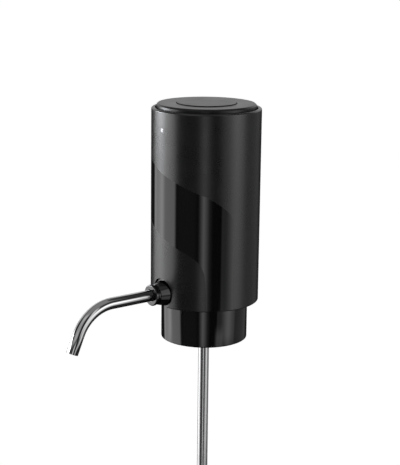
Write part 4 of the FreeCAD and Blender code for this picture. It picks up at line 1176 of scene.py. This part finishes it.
@dataclass
class Top:
    """The disc in the housing's rim and the round push button."""

    disc_radius: float = 27.2
    disc_wall: float = 1.8
    disc_bottom: float = 100.0
    disc_under: float = 112.2
    disc_top: float = 114.2
    disc_round: float = 0.2
    chamfer: float = 0.8
    chamfer_round: float = 0.25
    bore: float = 16.6
    bore_round: float = 0.12
    boss_radius: float = 2.4
    boss_circle: float = 22.6
    bosses: int = 4
    boss_first: float = 45.0
    boss_hole: float = 1.0
    boss_hole_depth: float = 8.0
    button_radius: float = 16.35
    button_top: float = 114.6
    button_under: float = 112.2
    button_edge: float = 0.4
    button_dish: float = 0.12
    button_steps: int = 192
    dish_shape: tuple[Pair, ...] = ((0.0, 1.0), (0.5, 0.7), (0.85, 0.12))
    face_share: float = 0.75
    rim_round: float = 0.1
    flange_radius: float = 17.65
    flange_round: float = 0.15
    flange_top: float = 111.9
    flange_bottom: float = 110.6
    skirt_bottom: float = 110.2
    button_inner: float = 14.95
    post_radius: float = 2.5
    post_bottom: float = 107.7
    post_round: float = 0.2
    post_fillet: float = 0.3
    spring_radius: float = 5.6
    spring_wire: float = 0.3
    spring_bottom: float = 102.6
    spring_turns: float = 4.0
    travel: float = 0.8

    def disc(self) -> None:
        """The disc with its chamfered edge, its skirt and four screw bosses."""
        shape = bmesh.new()
        edge = self.disc_radius - self.chamfer
        inner = self.disc_radius - self.disc_wall
        outline = [(self.disc_radius, self.disc_bottom, self.disc_round),
                   (self.disc_radius, self.disc_top - self.chamfer, self.chamfer_round),
                   (edge, self.disc_top, self.disc_round), (self.bore, self.disc_top, self.bore_round),
                   (self.bore, self.disc_under, self.rim_round), (inner, self.disc_under),
                   (inner, self.disc_bottom)]
        add_turned(shape, softened(outline), steps=WIDE_STEPS)
        for number in range(self.bosses):
            angle = math.radians(self.boss_first + 360 * number / self.bosses)
            centre = (self.boss_circle * math.cos(angle), self.boss_circle * math.sin(angle), 0.0)
            hole_top = self.disc_bottom + self.boss_hole_depth
            boss = [(self.boss_hole, self.disc_bottom), (self.boss_radius, self.disc_bottom),
                    (self.boss_radius, self.disc_under), (0, self.disc_under), (0, hole_top),
                    (self.boss_hole, hole_top)]
            add_turned(shape, boss, centre=centre, steps=HOLE_STEPS)
        piece = finished_object("top_disc", shape)
        dress(piece, "cap_black", "housing", "top_cap")

    def button(self) -> None:
        """The button: a barely dished top, a skirt with its flange and a middle post."""
        outline: Outline = [(self.button_radius * share, self.button_top - self.button_dish * fall)
                            for share, fall in self.dish_shape]
        outline += [(self.button_radius, self.button_top, self.button_edge),
                    (self.button_radius, self.flange_top),
                    (self.flange_radius, self.flange_top, self.flange_round),
                    (self.flange_radius, self.flange_bottom, self.flange_round),
                    (self.button_radius, self.flange_bottom),
                    (self.button_radius, self.skirt_bottom, self.rim_round),
                    (self.button_inner, self.skirt_bottom), (self.button_inner, self.button_under),
                    (self.post_radius, self.button_under, self.post_fillet),
                    (self.post_radius, self.post_bottom, self.post_round), (0, self.post_bottom)]
        piece = turned("button_cap", outline, steps=self.button_steps)
        # The top keeps the satin finish; the side wall and most of the edge rounding take a darker, duller
        # one, painted shade of the gap between button and disc.
        for slot in ("button_black", "button_gap_shade"):
            piece.data.materials.append(FINISHES[slot].material())
        face_reach = (self.button_radius - self.face_share * self.button_edge) * MM
        for face in piece.data.polygons:
            on_top = face.center.z > self.flange_top * MM and face.center.xy.length < face_reach
            face.material_index = 0 if on_top else 1
        dress(piece, "button_black", "button", "push_button")

    def spring(self) -> None:
        """The coil spring that lifts the button."""
        wire = self.spring_wire * MM
        sizes = {"Coil Radius": self.spring_radius * MM, "Wire Radius": wire, "Turns": self.spring_turns,
                 "Low": self.spring_bottom * MM + wire, "High": self.button_under * MM - wire}
        piece = spring_piece("button_coil", sizes)
        dress(piece, "spring_steel", "housing", "button_spring")
        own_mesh(piece)

    def build(self) -> None:
        """Builds the disc, the button and its spring."""
        self.disc()
        self.button()
        self.spring()


def spring_piece(name: str, sizes: dict[str, float], turn: Triple = ORIGIN, place: Triple = ORIGIN
                 ) -> bpy.types.Object:
    """Grows a coil spring.

    Args:
        name: the piece's name.
        sizes: its Coil Radius, Wire Radius, Turns, Low and High, in metres.
        turn: the turn from upright, in radians.
        place: where its axis starts, in metres.

    Returns:
        The spring.
    """
    grower = Grower(name, sizes)
    given = grower.given
    coil = grower.made("GeometryNodeCurveSpiral", Resolution=COIL_STEPS,
                       Rotations=given["Turns"], Start_Radius=given["Coil Radius"],
                       End_Radius=given["Coil Radius"],
                       Height=grower.maths("SUBTRACT", given["High"], given["Low"]))
    bar = grower.along_z(grower.swept(coil, "Wire Radius", WIRE_STEPS, True), "Low", 1.0)
    return grower.grow(grower.moved(bar, place, turn), FINISHES["spring_steel"])


# The spout


@dataclass
class Spout:
    """The tapered collar, the swivelling ring and the bent steel tube."""

    height: float = 12.2
    face_y: float = -28.3
    collar_base: float = 7.0
    collar_tip: float = 5.5
    collar_end: float = -35.4
    base_round: float = 0.3
    tip_round: float = 0.12
    step: float = 0.5
    step_depth: float = 0.35
    step_run: float = 0.1
    step_round: float = 0.1
    snout_bore: float = 6.35
    snout_end: float = -30.95
    swivel_bore: float = 4.55
    inlet_x: float = -2.0
    inlet_y: float = -29.9
    inlet_radius: float = 0.45
    sleeve_radius: float = 4.5
    sleeve_back: float = -24.2
    ring_start: float = -35.5
    ring_end: float = -37.2
    ring_radius: float = 5.8
    ring_round: float = 0.55
    mouth_round: float = 0.2
    mouth_depth: float = 0.4
    bore: float = 3.2
    lip_bore: float = 2.65
    lip: float = 1.1
    seal_places: Pair = (-26.4, -29.8)
    seal_half: float = 0.45
    seal_floor: float = 3.65
    seal_squeeze: float = 0.05
    tube_radius: float = 3.15
    tube_wall: float = 0.5
    tube_rim: float = 0.1
    tube_steps: int = 64
    bend_steps: int = 40
    tube_start: float = -27.2
    run_end: float = -62.6
    bend_radius: float = 22.8
    bend_angle: float = 66.6
    end_run: float = 10.45

    def collar(self) -> None:
        """The tapered collar with its two fine grooves and the air inlet."""
        groove = self.collar_tip - self.step_depth
        taper = self.collar_end + 3 * self.step
        outline = [(self.collar_base, self.face_y),
                   (self.collar_base, self.face_y - self.step, self.base_round),
                   (self.collar_tip, taper, self.tip_round), (groove, taper - self.step_run),
                   (groove, taper - self.step),
                   (self.collar_tip, taper - self.step - self.step_run, self.step_round),
                   (self.collar_tip, taper - 2 * self.step, self.step_round),
                   (groove, taper - 2 * self.step - self.step_run), (groove, self.collar_end),
                   (self.swivel_bore, self.collar_end), (self.swivel_bore, self.snout_end),
                   (self.snout_bore, self.snout_end), (self.snout_bore, self.face_y)]
        piece = turned("spout_collar", outline, Axis.SPOUT, (0.0, 0.0, self.height), RING_STEPS)
        inlet = bmesh.new()
        inside, past = self.height + self.snout_bore - 1, self.height + self.collar_base + 1
        add_turned(inlet, [(0, inside), (self.inlet_radius, inside), (self.inlet_radius, past), (0, past)],
                   Axis.UPRIGHT, (self.inlet_x, self.inlet_y, 0.0), HOLE_STEPS)
        carve(piece, inlet)
        dress(piece, "gloss_black", "housing", "spout_boss")

    def groove(self, edge: float, floor: float, middle: float, way: int) -> Outline:
        """A seal's groove in an outline.

        Args:
            edge: the radius of the wall that it is cut into.
            floor: the radius of its floor.
            middle: its middle along the axis.
            way: 1 where the outline runs towards the tip and -1 where it runs back.

        Returns:
            Its corners, in order.
        """
        first, last = middle + way * self.seal_half, middle - way * self.seal_half
        return [(edge, first), (floor, first), (floor, last), (edge, last)]

    def ring(self) -> None:
        """The swivelling sleeve with the polished ring that shows."""
        outline: Outline = [(self.sleeve_radius, self.sleeve_back)]
        for middle in self.seal_places:
            outline += self.groove(self.sleeve_radius, self.seal_floor, middle, 1)
        outline += [(self.sleeve_radius, self.ring_start),
                    (self.ring_radius, self.ring_start, self.ring_round),
                    (self.ring_radius, self.ring_end, self.ring_round),
                    (self.bore + self.mouth_round, self.ring_end, self.mouth_round),
                    (self.bore, self.ring_end + self.mouth_depth)]
        middle = (self.ring_start + self.ring_end) / 2
        outline += self.groove(self.bore, self.bore + 2 * self.seal_half - self.seal_squeeze, middle, -1)
        outline += [(self.bore, self.sleeve_back - self.lip), (self.lip_bore, self.sleeve_back - self.lip),
                    (self.lip_bore, self.sleeve_back)]
        piece = turned("ferrule_ring", outline, Axis.SPOUT, (0.0, 0.0, self.height), RING_STEPS)
        dress(piece, "gloss_black", "ferrule", "spout_ferrule")

    def tube(self) -> None:
        """The steel tube, grown along its bent path and given its wall."""
        turn = math.radians(self.bend_angle)
        setback = self.bend_radius * math.tan(turn / 2)
        corner = Vector((0.0, self.run_end - setback, self.height))
        tip = corner + Vector((0.0, -math.cos(turn), -math.sin(turn))) * (setback + self.end_run)
        sizes = {"Start": (0.0, self.tube_start * MM, self.height * MM), "Corner": tuple(corner * MM),
                 "Tip": tuple(tip * MM), "Bend Radius": self.bend_radius * MM,
                 "Tube Radius": self.tube_radius * MM}
        grower = Grower("spout_pipe", sizes)
        chooser = grower.add("GeometryNodeIndexSwitch", {"data_type": "VECTOR"},
                             Index=grower.made("GeometryNodeInputIndex"))
        chooser.index_switch_items.new()
        for socket, label in zip(list(chooser.inputs)[1:], ("Start", "Corner", "Tip")):
            grower.feed(socket, grower.given[label])
        points = grower.made("GeometryNodePoints", Count=3, Position=chooser.outputs[0])
        line = grower.made("GeometryNodePointsToCurves", Points=points)
        path = grower.made("GeometryNodeFilletCurve", {"mode": "POLY"}, Curve=line,
                           Count=self.bend_steps, Radius=grower.given["Bend Radius"])
        skin = grower.swept(path, "Tube Radius", self.tube_steps, False)
        piece = grower.grow(skin, FINISHES["spout_steel"])
        facing_out(piece)
        wall = piece.modifiers.new("wall", "SOLIDIFY")
        wall.thickness = self.tube_wall * MM
        wall.offset = -1.0
        apply_modifiers(piece)
        dress(bevelled(piece, self.tube_rim), "spout_steel", "spout", "spout_tube")

    def build(self) -> None:
        """Builds the collar, the ring and the tube."""
        self.collar()
        self.ring()
        self.tube()


# The stopper and the tubes in the bottle


@dataclass
class Stopper:
    """The soft ribbed plug and the gasket on the bottle's mouth."""

    post_radius: float = 5.63
    top: float = 1.5
    shoulder_radius: float = 8.75
    land_radius: float = 9.25
    land_top: float = 1.0
    land_bottom: float = -8.0
    soft: float = 0.2
    fold: float = 0.4
    rib_radius: float = 9.2
    groove_radius: float = 7.9
    rib_pitch: float = 4.4
    rib_fall: float = 1.32
    rib_groove: float = 1.1
    rib_land: float = 1.1
    rib_count: int = 3
    rib_round: float = 0.3
    crease: float = 50.0
    nose_radius: float = 7.0
    nose_end: float = -21.5
    nose_round: float = 0.25
    gasket_radius: float = 14.5
    gasket_bore: float = 10.0

    def plug(self) -> None:
        """The soft plug: its land, its round ribs and its nose."""
        outline: Outline = [(self.post_radius, self.top), (self.shoulder_radius, self.top),
                            (self.shoulder_radius, self.land_top),
                            (self.land_radius, self.land_top, self.soft),
                            (self.land_radius, self.land_bottom, self.fold)]
        height = self.land_bottom
        for _ in range(self.rib_count):
            outline += [(self.groove_radius, height - self.rib_fall, self.fold),
                        (self.groove_radius, height - self.rib_fall - self.rib_groove, self.fold),
                        (self.rib_radius, height - self.rib_pitch + self.rib_land, self.rib_round),
                        (self.rib_radius, height - self.rib_pitch, self.fold)]
            height -= self.rib_pitch
        outline += [(self.nose_radius, self.nose_end, self.nose_round),
                    (self.post_radius, self.nose_end, self.soft)]
        piece = turned("stopper_plug", outline, steps=RING_STEPS, crease=self.crease)
        dress(piece, "food_rubber", "housing", "stopper_sleeve")

    def gasket(self) -> None:
        """The flat ring on the bottle's mouth."""
        outline = [(self.gasket_bore, 0, self.soft), (self.gasket_radius, 0, self.rib_round),
                   (self.gasket_radius, self.top, self.soft), (self.gasket_bore, self.top)]
        dress(turned("mouth_ring", outline, steps=RING_STEPS), "food_rubber", "housing", "mouth_gasket")

    def build(self) -> None:
        """Builds the plug and the gasket."""
        self.plug()
        self.gasket()


@dataclass
class SuctionTubes:
    """The fixed tube, its collar, the sliding tube and its slotted foot."""

    upper_radius: float = 3.0
    upper_top: float = -8.5
    upper_end: float = -148.5
    lower_radius: float = 2.5
    lower_end: float = -178.5
    lower_top: float = -23.5
    wall: float = 0.4
    inner_rim: float = 0.08
    outer_rim: float = 0.12
    fit: float = 0.03
    slide_fit: float = 0.1
    collar_radius: float = 4.3
    collar_top: float = -142.5
    collar_bottom: float = -152.5
    collar_round: float = 0.6
    grips: int = 5
    grip_depth: float = 0.2
    grip_half: float = 0.35
    grip_floor: float = 0.15
    grip_round: float = 0.1
    seal_height: float = -150.5
    seal_reach: float = 3.6
    seal_half: float = 0.55
    foot_radius: float = 3.3
    foot_bottom: float = -182.5
    foot_top: float = -172.5
    foot_bore_round: float = 0.15
    foot_round: float = 0.4
    foot_shoulder: float = 0.5
    slot_width: float = 1.6
    slot_height: float = 3.0

    def pipe(self, name: str, radius: float, bottom: float, top: float) -> bpy.types.Object:
        """A straight tube with softened rims.

        Args:
            name: the tube's name.
            radius: its outer radius.
            bottom: the height of its lower end.
            top: the height of its upper end.

        Returns:
            The tube.
        """
        inner = radius - self.wall
        outline = [(inner, bottom, self.inner_rim), (radius, bottom, self.outer_rim),
                   (radius, top, self.outer_rim), (inner, top, self.inner_rim)]
        return turned(name, outline, steps=TUBE_STEPS)

    def collar(self) -> None:
        """The collar that holds the sliding tube's seal, with shallow grip grooves."""
        upper_bore, lower_bore = self.upper_radius + self.fit, self.lower_radius + self.slide_fit
        outline: Outline = [(upper_bore, self.collar_top),
                            (self.collar_radius, self.collar_top, self.collar_round)]
        pitch = (self.collar_top - self.collar_bottom) / (self.grips + 2)
        floor = self.collar_radius - self.grip_depth
        for number in range(self.grips):
            middle = self.collar_top - pitch * (number + 1.5)
            outline += [(self.collar_radius, middle + self.grip_half),
                        (floor, middle + self.grip_floor, self.grip_round),
                        (floor, middle - self.grip_floor, self.grip_round),
                        (self.collar_radius, middle - self.grip_half)]
        low, high = self.seal_height - self.seal_half, self.seal_height + self.seal_half
        outline += [(self.collar_radius, self.collar_bottom, self.collar_round),
                    (lower_bore, self.collar_bottom), (lower_bore, low), (self.seal_reach, low),
                    (self.seal_reach, high), (lower_bore, high), (lower_bore, self.upper_end),
                    (upper_bore, self.upper_end)]
        dress(turned("tube_grip", outline), "gloss_black", "housing", "tube_collar")

    def foot(self) -> None:
        """The foot with its crossed slots."""
        upper_bore, lower_bore = self.lower_radius + self.fit, self.lower_radius - self.wall
        outline = [(lower_bore, self.foot_bottom, self.foot_bore_round),
                   (self.foot_radius, self.foot_bottom, self.foot_round),
                   (self.foot_radius, self.foot_top, self.foot_shoulder),
                   (upper_bore, self.foot_top, self.grip_round),
                   (upper_bore, self.lower_end), (lower_bore, self.lower_end)]
        piece = turned("tube_foot", outline, steps=TUBE_STEPS)
        half, reach = self.slot_width / 2, self.foot_radius + 1
        slots = [bmesh.new(), bmesh.new()]
        for slot, (width, depth) in zip(slots, ((reach, half), (half, reach))):
            add_block(slot, (-width, -depth, self.foot_bottom - 1),
                      (width, depth, self.foot_bottom + self.slot_height))
        carve(piece, *slots)
        dress(piece, "gloss_black", "suction_tube", "tube_tip")

    def build(self) -> None:
        """Builds both tubes, the collar and the foot."""
        upper = self.pipe("suction_upper", self.upper_radius, self.upper_end, self.upper_top)
        dress(upper, "tube_steel", "housing", "upper_tube")
        lower = self.pipe("suction_lower", self.lower_radius, self.lower_end, self.lower_top)
        dress(lower, "tube_steel", "suction_tube", "lower_tube")
        self.collar()
        self.foot()


# What holds the inside together


@dataclass(frozen=True)
class Screws:
    """One kind of screw and the seats that it is driven into."""

    name: str
    node: str
    head_radius: float
    head_height: float
    shank_radius: float
    shank_length: float
    seats: tuple[tuple[Triple, Aim], ...]
    recess_width: float = 0.18
    recess_depth: float = 0.6
    recess_reach: float = 0.5
    rim: float = 0.08
    head_steps: int = 32
    shank_steps: int = 20

    def seeds(self) -> bpy.types.Mesh:
        """One point for each seat, with the way that its screw points.

        Returns:
            A mesh of loose points with their aims.
        """
        mesh = bpy.data.meshes.new(self.name + "_seats")
        mesh.from_pydata([Vector(place) * MM for place, _ in self.seats], [], [])
        aims = mesh.attributes.new("aim", "FLOAT_VECTOR", "POINT")
        for number, (_, aim) in enumerate(self.seats):
            aims.data[number].vector = aim.value
        return mesh

    def build(self) -> None:
        """Grows one screw with a cross recess and sets it on every seat."""
        head_width = 2 * self.head_radius * MM
        sizes = {"Head Radius": self.head_radius * MM, "Head Height": self.head_height * MM,
                 "Shank Radius": self.shank_radius * MM, "Shank Length": self.shank_length * MM,
                 "Recess Across": head_width * self.recess_reach,
                 "Recess Width": head_width * self.recess_width, "Recess Depth": 2 * self.recess_depth * MM}
        grower = Grower(self.name, sizes)
        given = grower.given
        head, shank = [
            grower.along_z(grower.made("GeometryNodeMeshCylinder", Vertices=steps, Radius=given[radius],
                                       Depth=given[depth]), depth, share)
            for steps, radius, depth, share in ((self.head_steps, "Head Radius", "Head Height", -0.5),
                                                (self.shank_steps, "Shank Radius", "Shank Length", 0.5))]
        wings = []
        for x, y in (("Recess Across", "Recess Width"), ("Recess Width", "Recess Across")):
            size = grower.vector(given[x], given[y], given["Recess Depth"])
            wings.append(grower.along_z(grower.made("GeometryNodeMeshCube", Size=size), "Head Height", -1.0))
        driven = grower.made("GeometryNodeMeshBoolean", {"operation": "DIFFERENCE"}, Mesh_1=head,
                             Mesh_2=wings)
        aim = grower.made("GeometryNodeInputNamedAttribute", {"data_type": "FLOAT_VECTOR"}, Name="aim")
        turn = grower.made("FunctionNodeAlignRotationToVector", {"axis": "Z"}, Vector=aim)
        screw = grower.made("GeometryNodeJoinGeometry", Geometry=[driven, shank])
        copies = grower.made("GeometryNodeInstanceOnPoints", Points=given["Geometry"], Instance=screw,
                             Rotation=turn)
        piece = grower.grow(copies, FINISHES["screw_steel"], self.seeds())
        dress(bevelled(piece, self.rim), "screw_steel", "housing", self.node)


def circle_of_seats(count: int, first: float, circle: float, height: float, centre: Pair = (0.0, 0.0)
                    ) -> tuple[tuple[Triple, Aim], ...]:
    """Seats spread evenly round a circle, for screws that point up.

    Args:
        count: how many seats there are.
        first: the first seat's angle from +X in degrees.
        circle: the circle's radius.
        height: the seats' height.
        centre: the circle's middle.

    Returns:
        Each seat's place and aim.
    """
    seats = []
    for number in range(count):
        angle = math.radians(first + 360 * number / count)
        place = (centre[0] + circle * math.cos(angle), centre[1] + circle * math.sin(angle), height)
        seats.append((place, Aim.UP))
    return tuple(seats)


@dataclass
class Fasteners:
    """The screws and the small spring inside."""

    deck_height: float = 100.0
    deck_places: tuple[Pair, ...] = ((20.46, -10.5), (-20.46, -10.5), (0.0, 18.4))
    board_x: float = 13.46
    board_y: float = -14.096
    board_heights: Pair = (27.5, 79.5)
    charge_y: float = 21.6
    charge_heights: Pair = (19.5, 28.5)
    pump_axis: Pair = (13.004, 4.3)
    valve_line: Pair = (4.3, 13.5)
    valve_radius: float = 1.1
    valve_wire: float = 0.125
    valve_turns: float = 3.0

    def kinds(self) -> list[Screws]:
        """Every kind of screw with its seats.

        Returns:
            The kinds, each ready to be built.
        """
        deck = tuple(((x, y, self.deck_height), Aim.DOWN) for x, y in self.deck_places)
        boards = tuple(((side * self.board_x, self.board_y, height), Aim.BACK)
                       for side in (-1, 1) for height in self.board_heights)
        boards += tuple(((0.0, self.charge_y, height), Aim.FRONT) for height in self.charge_heights)
        skirt = circle_of_seats(count=3, first=90, circle=18.4, height=3.0)
        bosses = circle_of_seats(count=4, first=45, circle=22.6, height=98.0)
        pump = circle_of_seats(count=3, first=60, circle=10.596, height=20.5, centre=self.pump_axis)
        return [
            Screws("skirt_screws", "base_screws", head_radius=2.6, head_height=1.6, shank_radius=1.4,
                   shank_length=13.0, seats=skirt),
            Screws("deck_screws", "small_screws", head_radius=1.8, head_height=0.9, shank_radius=0.95,
                   shank_length=8.0, seats=bosses + deck),
            Screws("circuit_screws", "board_screws", head_radius=1.8, head_height=0.9, shank_radius=0.95,
                   shank_length=4.0, seats=boards),
            Screws("pump_bolts", "pump_screws", head_radius=1.5, head_height=1.1, shank_radius=0.8,
                   shank_length=17.9, seats=pump),
        ]

    def valve_coil(self) -> None:
        """The spring that shuts the air valve."""
        low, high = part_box("valve_spring")
        wire = self.valve_wire * MM
        sizes = {"Coil Radius": (self.valve_radius - self.valve_wire) * MM, "Wire Radius": wire,
                 "Turns": self.valve_turns, "Low": low.x + wire, "High": high.x - wire}
        place = (0.0, self.valve_line[0] * MM, self.valve_line[1] * MM)
        piece = spring_piece("valve_coil", sizes, (0.0, math.pi / 2, 0.0), place)
        dress(piece, "spring_steel", "housing", "valve_spring")

    def build(self) -> None:
        """Builds the screws and the spring."""
        for kind in self.kinds():
            kind.build()
        self.valve_coil()


# What stays as the model has it


def dress_inside() -> None:
    """Gives every node that still shows the finish of its slot."""
    for entry in frame["record"]["subparts"]:
        node = frame["nodes"][entry["node"]]
        if node.hide_render:
            continue
        finish = FINISHES[entry["material_slot"]]
        node.data.materials.clear()
        node.data.materials.append(finish.material())
        log.info("%s: %s", node.name, finish.name)


# The studio


@dataclass
class PhotoCamera:
    """The camera that took the photo, from its fit to the body's outline."""

    distance: float = 699.4
    height: float = 207.5
    pitch: float = 13.303
    roll: float = 0.671
    yaw: float = -0.23
    focal_pixels: float = 1298.745
    frame_width: float = 400.0
    sensor: float = 36.0
    nearest: float = 0.01

    def build(self) -> None:
        """Makes the camera and gives it to the scene."""
        pitch, yaw, roll = (math.radians(angle) for angle in (self.pitch, self.yaw, self.roll))
        forward = Vector((math.sin(yaw) * math.cos(pitch), math.cos(yaw) * math.cos(pitch), -math.sin(pitch)))
        level = Vector((math.cos(yaw), -math.sin(yaw), 0.0))
        upward = level.cross(forward)
        right = level * math.cos(roll) + upward * math.sin(roll)
        up = upward * math.cos(roll) - level * math.sin(roll)
        axes = Matrix((right, up, -forward)).transposed().to_4x4()
        place = Matrix.Translation(Vector((0.0, -self.distance, self.height)) * MM)
        data = bpy.data.cameras.new("photo_camera")
        data.sensor_fit = "HORIZONTAL"
        data.sensor_width = self.sensor
        data.lens = self.focal_pixels / self.frame_width * self.sensor
        data.clip_start = self.nearest
        camera = bpy.data.objects.new("photo_camera", data)
        camera.matrix_world = Matrix.Rotation(math.radians(PHOTO_AZIMUTH), 4, "Z") @ place @ axes
        bpy.context.scene.collection.objects.link(camera)
        bpy.context.scene.camera = camera


@dataclass(frozen=True)
class SoftBox:
    """One soft light, given in degrees by where it stands as seen from the part.

    The side is counted left of the photo's camera, and low and high are its lower and upper edge.
    """

    side: float
    half_width: float
    blur: float
    low: float
    high: float
    strength: float
    rise_blur: float = 6.0
    tint: Triple = PLAIN

    def glow(self, sky: Wiring, heading: Socket, rise: Socket) -> Socket:
        """Draws the light's window in the dark room.

        Args:
            sky: the world's nodes.
            heading: the direction that is looked in.
            rise: its height above the horizon in degrees.

        Returns:
            The window's colour.
        """
        spun = sky.made("ShaderNodeVectorRotate", {"rotation_type": "Z_AXIS"}, Vector=heading,
                        Angle=-math.radians(PHOTO_AZIMUTH - self.side))
        parts = sky.add("ShaderNodeSeparateXYZ", Vector=spun).outputs
        away = sky.maths("ARCTAN2", parts["X"], sky.maths("MULTIPLY", parts["Y"], -1.0))
        away = sky.maths("ABSOLUTE", sky.maths("MULTIPLY", away, math.degrees(1.0)))
        inside = sky.maths("SUBTRACT", 1.0, soft_edge(sky, away, self.half_width, self.blur))
        above = soft_edge(sky, rise, self.low, self.rise_blur)
        below = sky.maths("SUBTRACT", 1.0, soft_edge(sky, rise, self.high, self.rise_blur))
        share = sky.maths("MULTIPLY", sky.maths("MULTIPLY", inside, above),
                          sky.maths("MULTIPLY", below, self.strength))
        return sky.made("ShaderNodeVectorMath", {"operation": "SCALE"}, Vector=self.tint, Scale=share)


def soft_edge(sky: Wiring, value: Socket, edge: float, blur: float) -> Socket:
    """Rises smoothly from 0 to 1 round an edge, in degrees."""
    return sky.made("ShaderNodeMapRange", {"interpolation_type": "SMOOTHSTEP"}, Value=value,
                    From_Min=edge - blur, From_Max=edge + blur)


@dataclass
class Studio:
    """The soft lights and the pale floor, which lies where a bottle stands, under the drawn-out tube."""

    floor_height: float = -288.05
    floor_size: float = 40000.0
    floor_colour: Triple = (0.9, 0.9, 0.9)
    floor_lift: float = 0.73
    ambient: float = 0.02
    boxes: tuple[SoftBox, ...] = (
        SoftBox(side=100.0, half_width=34.0, blur=4.0, low=-30.0, high=8.0, strength=1.15),
        SoftBox(side=108.0, half_width=8.0, blur=6.0, low=-30.0, high=8.0, strength=0.4),
        SoftBox(side=101.0, half_width=26.0, blur=8.0, low=-4.0, high=5.0, strength=5.2, rise_blur=3.0),
        SoftBox(side=109.0, half_width=11.0, blur=5.0, low=-4.0, high=4.0, strength=17.0, rise_blur=3.0,
                tint=KEY_TINT),
        SoftBox(side=102.0, half_width=6.0, blur=5.0, low=-22.0, high=-6.0, strength=0.5, rise_blur=4.0),
        SoftBox(side=3.0, half_width=4.0, blur=9.0, low=-30.0, high=0.0, strength=1.05),
        SoftBox(side=-5.0, half_width=5.0, blur=8.0, low=-30.0, high=0.0, strength=0.2),
        SoftBox(side=40.0, half_width=22.0, blur=9.0, low=-30.0, high=12.0, strength=0.04),
        SoftBox(side=34.0, half_width=32.0, blur=12.0, low=8.0, high=60.0, strength=0.36),
        SoftBox(side=28.0, half_width=14.0, blur=8.0, low=10.0, high=24.0, strength=0.12),
        SoftBox(side=-62.0, half_width=27.0, blur=2.0, low=-26.0, high=10.0, strength=0.17),
        SoftBox(side=-68.0, half_width=12.0, blur=14.0, low=-26.0, high=10.0, strength=0.75),
        SoftBox(side=-68.0, half_width=18.0, blur=10.0, low=-4.0, high=19.0, strength=1.05, rise_blur=9.0),
        SoftBox(side=-40.0, half_width=8.0, blur=5.0, low=-3.0, high=44.0, strength=0.8, rise_blur=8.0),
        SoftBox(side=-42.0, half_width=10.0, blur=5.0, low=-46.0, high=-19.0, strength=0.4, rise_blur=4.0),
        SoftBox(side=-115.0, half_width=30.0, blur=8.0, low=-26.0, high=20.0, strength=0.17),
        SoftBox(side=0.0, half_width=181.0, blur=1.0, low=48.0, high=200.0, strength=0.24, rise_blur=14.0),
        SoftBox(side=180.0, half_width=62.0, blur=20.0, low=0.0, high=36.0, strength=0.7, rise_blur=8.0),
    )

    def world(self) -> None:
        """Lays the soft lights round the part as windows in a dark room, white to the camera itself."""
        world = bpy.data.worlds.new("studio")
        world.use_nodes = True
        world.node_tree.nodes.clear()
        bpy.context.scene.world = world
        sky = Wiring(world.node_tree)
        heading = sky.add("ShaderNodeTexCoord").outputs["Generated"]
        upward = sky.add("ShaderNodeSeparateXYZ", Vector=heading).outputs["Z"]
        rise = sky.maths("MULTIPLY", sky.maths("ARCSINE", upward), math.degrees(1.0))
        total: object = (self.ambient,) * 3
        for box in self.boxes:
            total = sky.maths("ADD", box.glow(sky, heading, rise), total, kind="ShaderNodeVectorMath")
        choice = sky.add("ShaderNodeMixShader", Fac=sky.add("ShaderNodeLightPath").outputs["Is Camera Ray"])
        sky.feed(choice.inputs[1], sky.made("ShaderNodeBackground", Color=total))
        sky.feed(choice.inputs[2], sky.made("ShaderNodeBackground", Color=(*PLAIN, 1.0)))
        sky.add("ShaderNodeOutputWorld", Surface=choice.outputs[0])

    def floor(self) -> None:
        """The pale floor, which keeps the part's shadow."""
        shape = bmesh.new()
        half = self.floor_size / 2
        corners = [(-half, -half), (half, -half), (half, half), (-half, half)]
        shape.faces.new([shape.verts.new((x, y, self.floor_height)) for x, y in corners])
        floor = finished_object("studio_floor", shape)
        material = bpy.data.materials.new("pale_floor")
        material.use_nodes = True
        material.node_tree.nodes.clear()
        ground = Wiring(material.node_tree)
        seen = ground.add("ShaderNodeLightPath").outputs["Is Camera Ray"]
        both = ground.add("ShaderNodeAddShader")
        ground.feed(both.inputs[0], ground.made("ShaderNodeBsdfDiffuse", Color=(*self.floor_colour, 1.0)))
        ground.feed(both.inputs[1], ground.made(
            "ShaderNodeEmission", Strength=ground.maths("MULTIPLY", seen, self.floor_lift)))
        ground.add("ShaderNodeOutputMaterial", Surface=both.outputs[0])
        floor.data.materials.append(material)
        floor.visible_glossy = False

    def build(self) -> None:
        """Builds the lights and the floor."""
        bpy.context.scene.view_settings.view_transform = "Standard"
        self.world()
        self.floor()


def main() -> None:
    """Builds the scene in order."""
    logging.basicConfig(level=logging.INFO, format="%(message)s")
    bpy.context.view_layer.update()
    PhotoCamera().build()
    for part in (Housing(), Skirt(), Top(), Spout(), Stopper(), SuctionTubes(), Fasteners()):
        part.build()
    dress_inside()
    Studio().build()


if __name__ == "__main__":
    main()
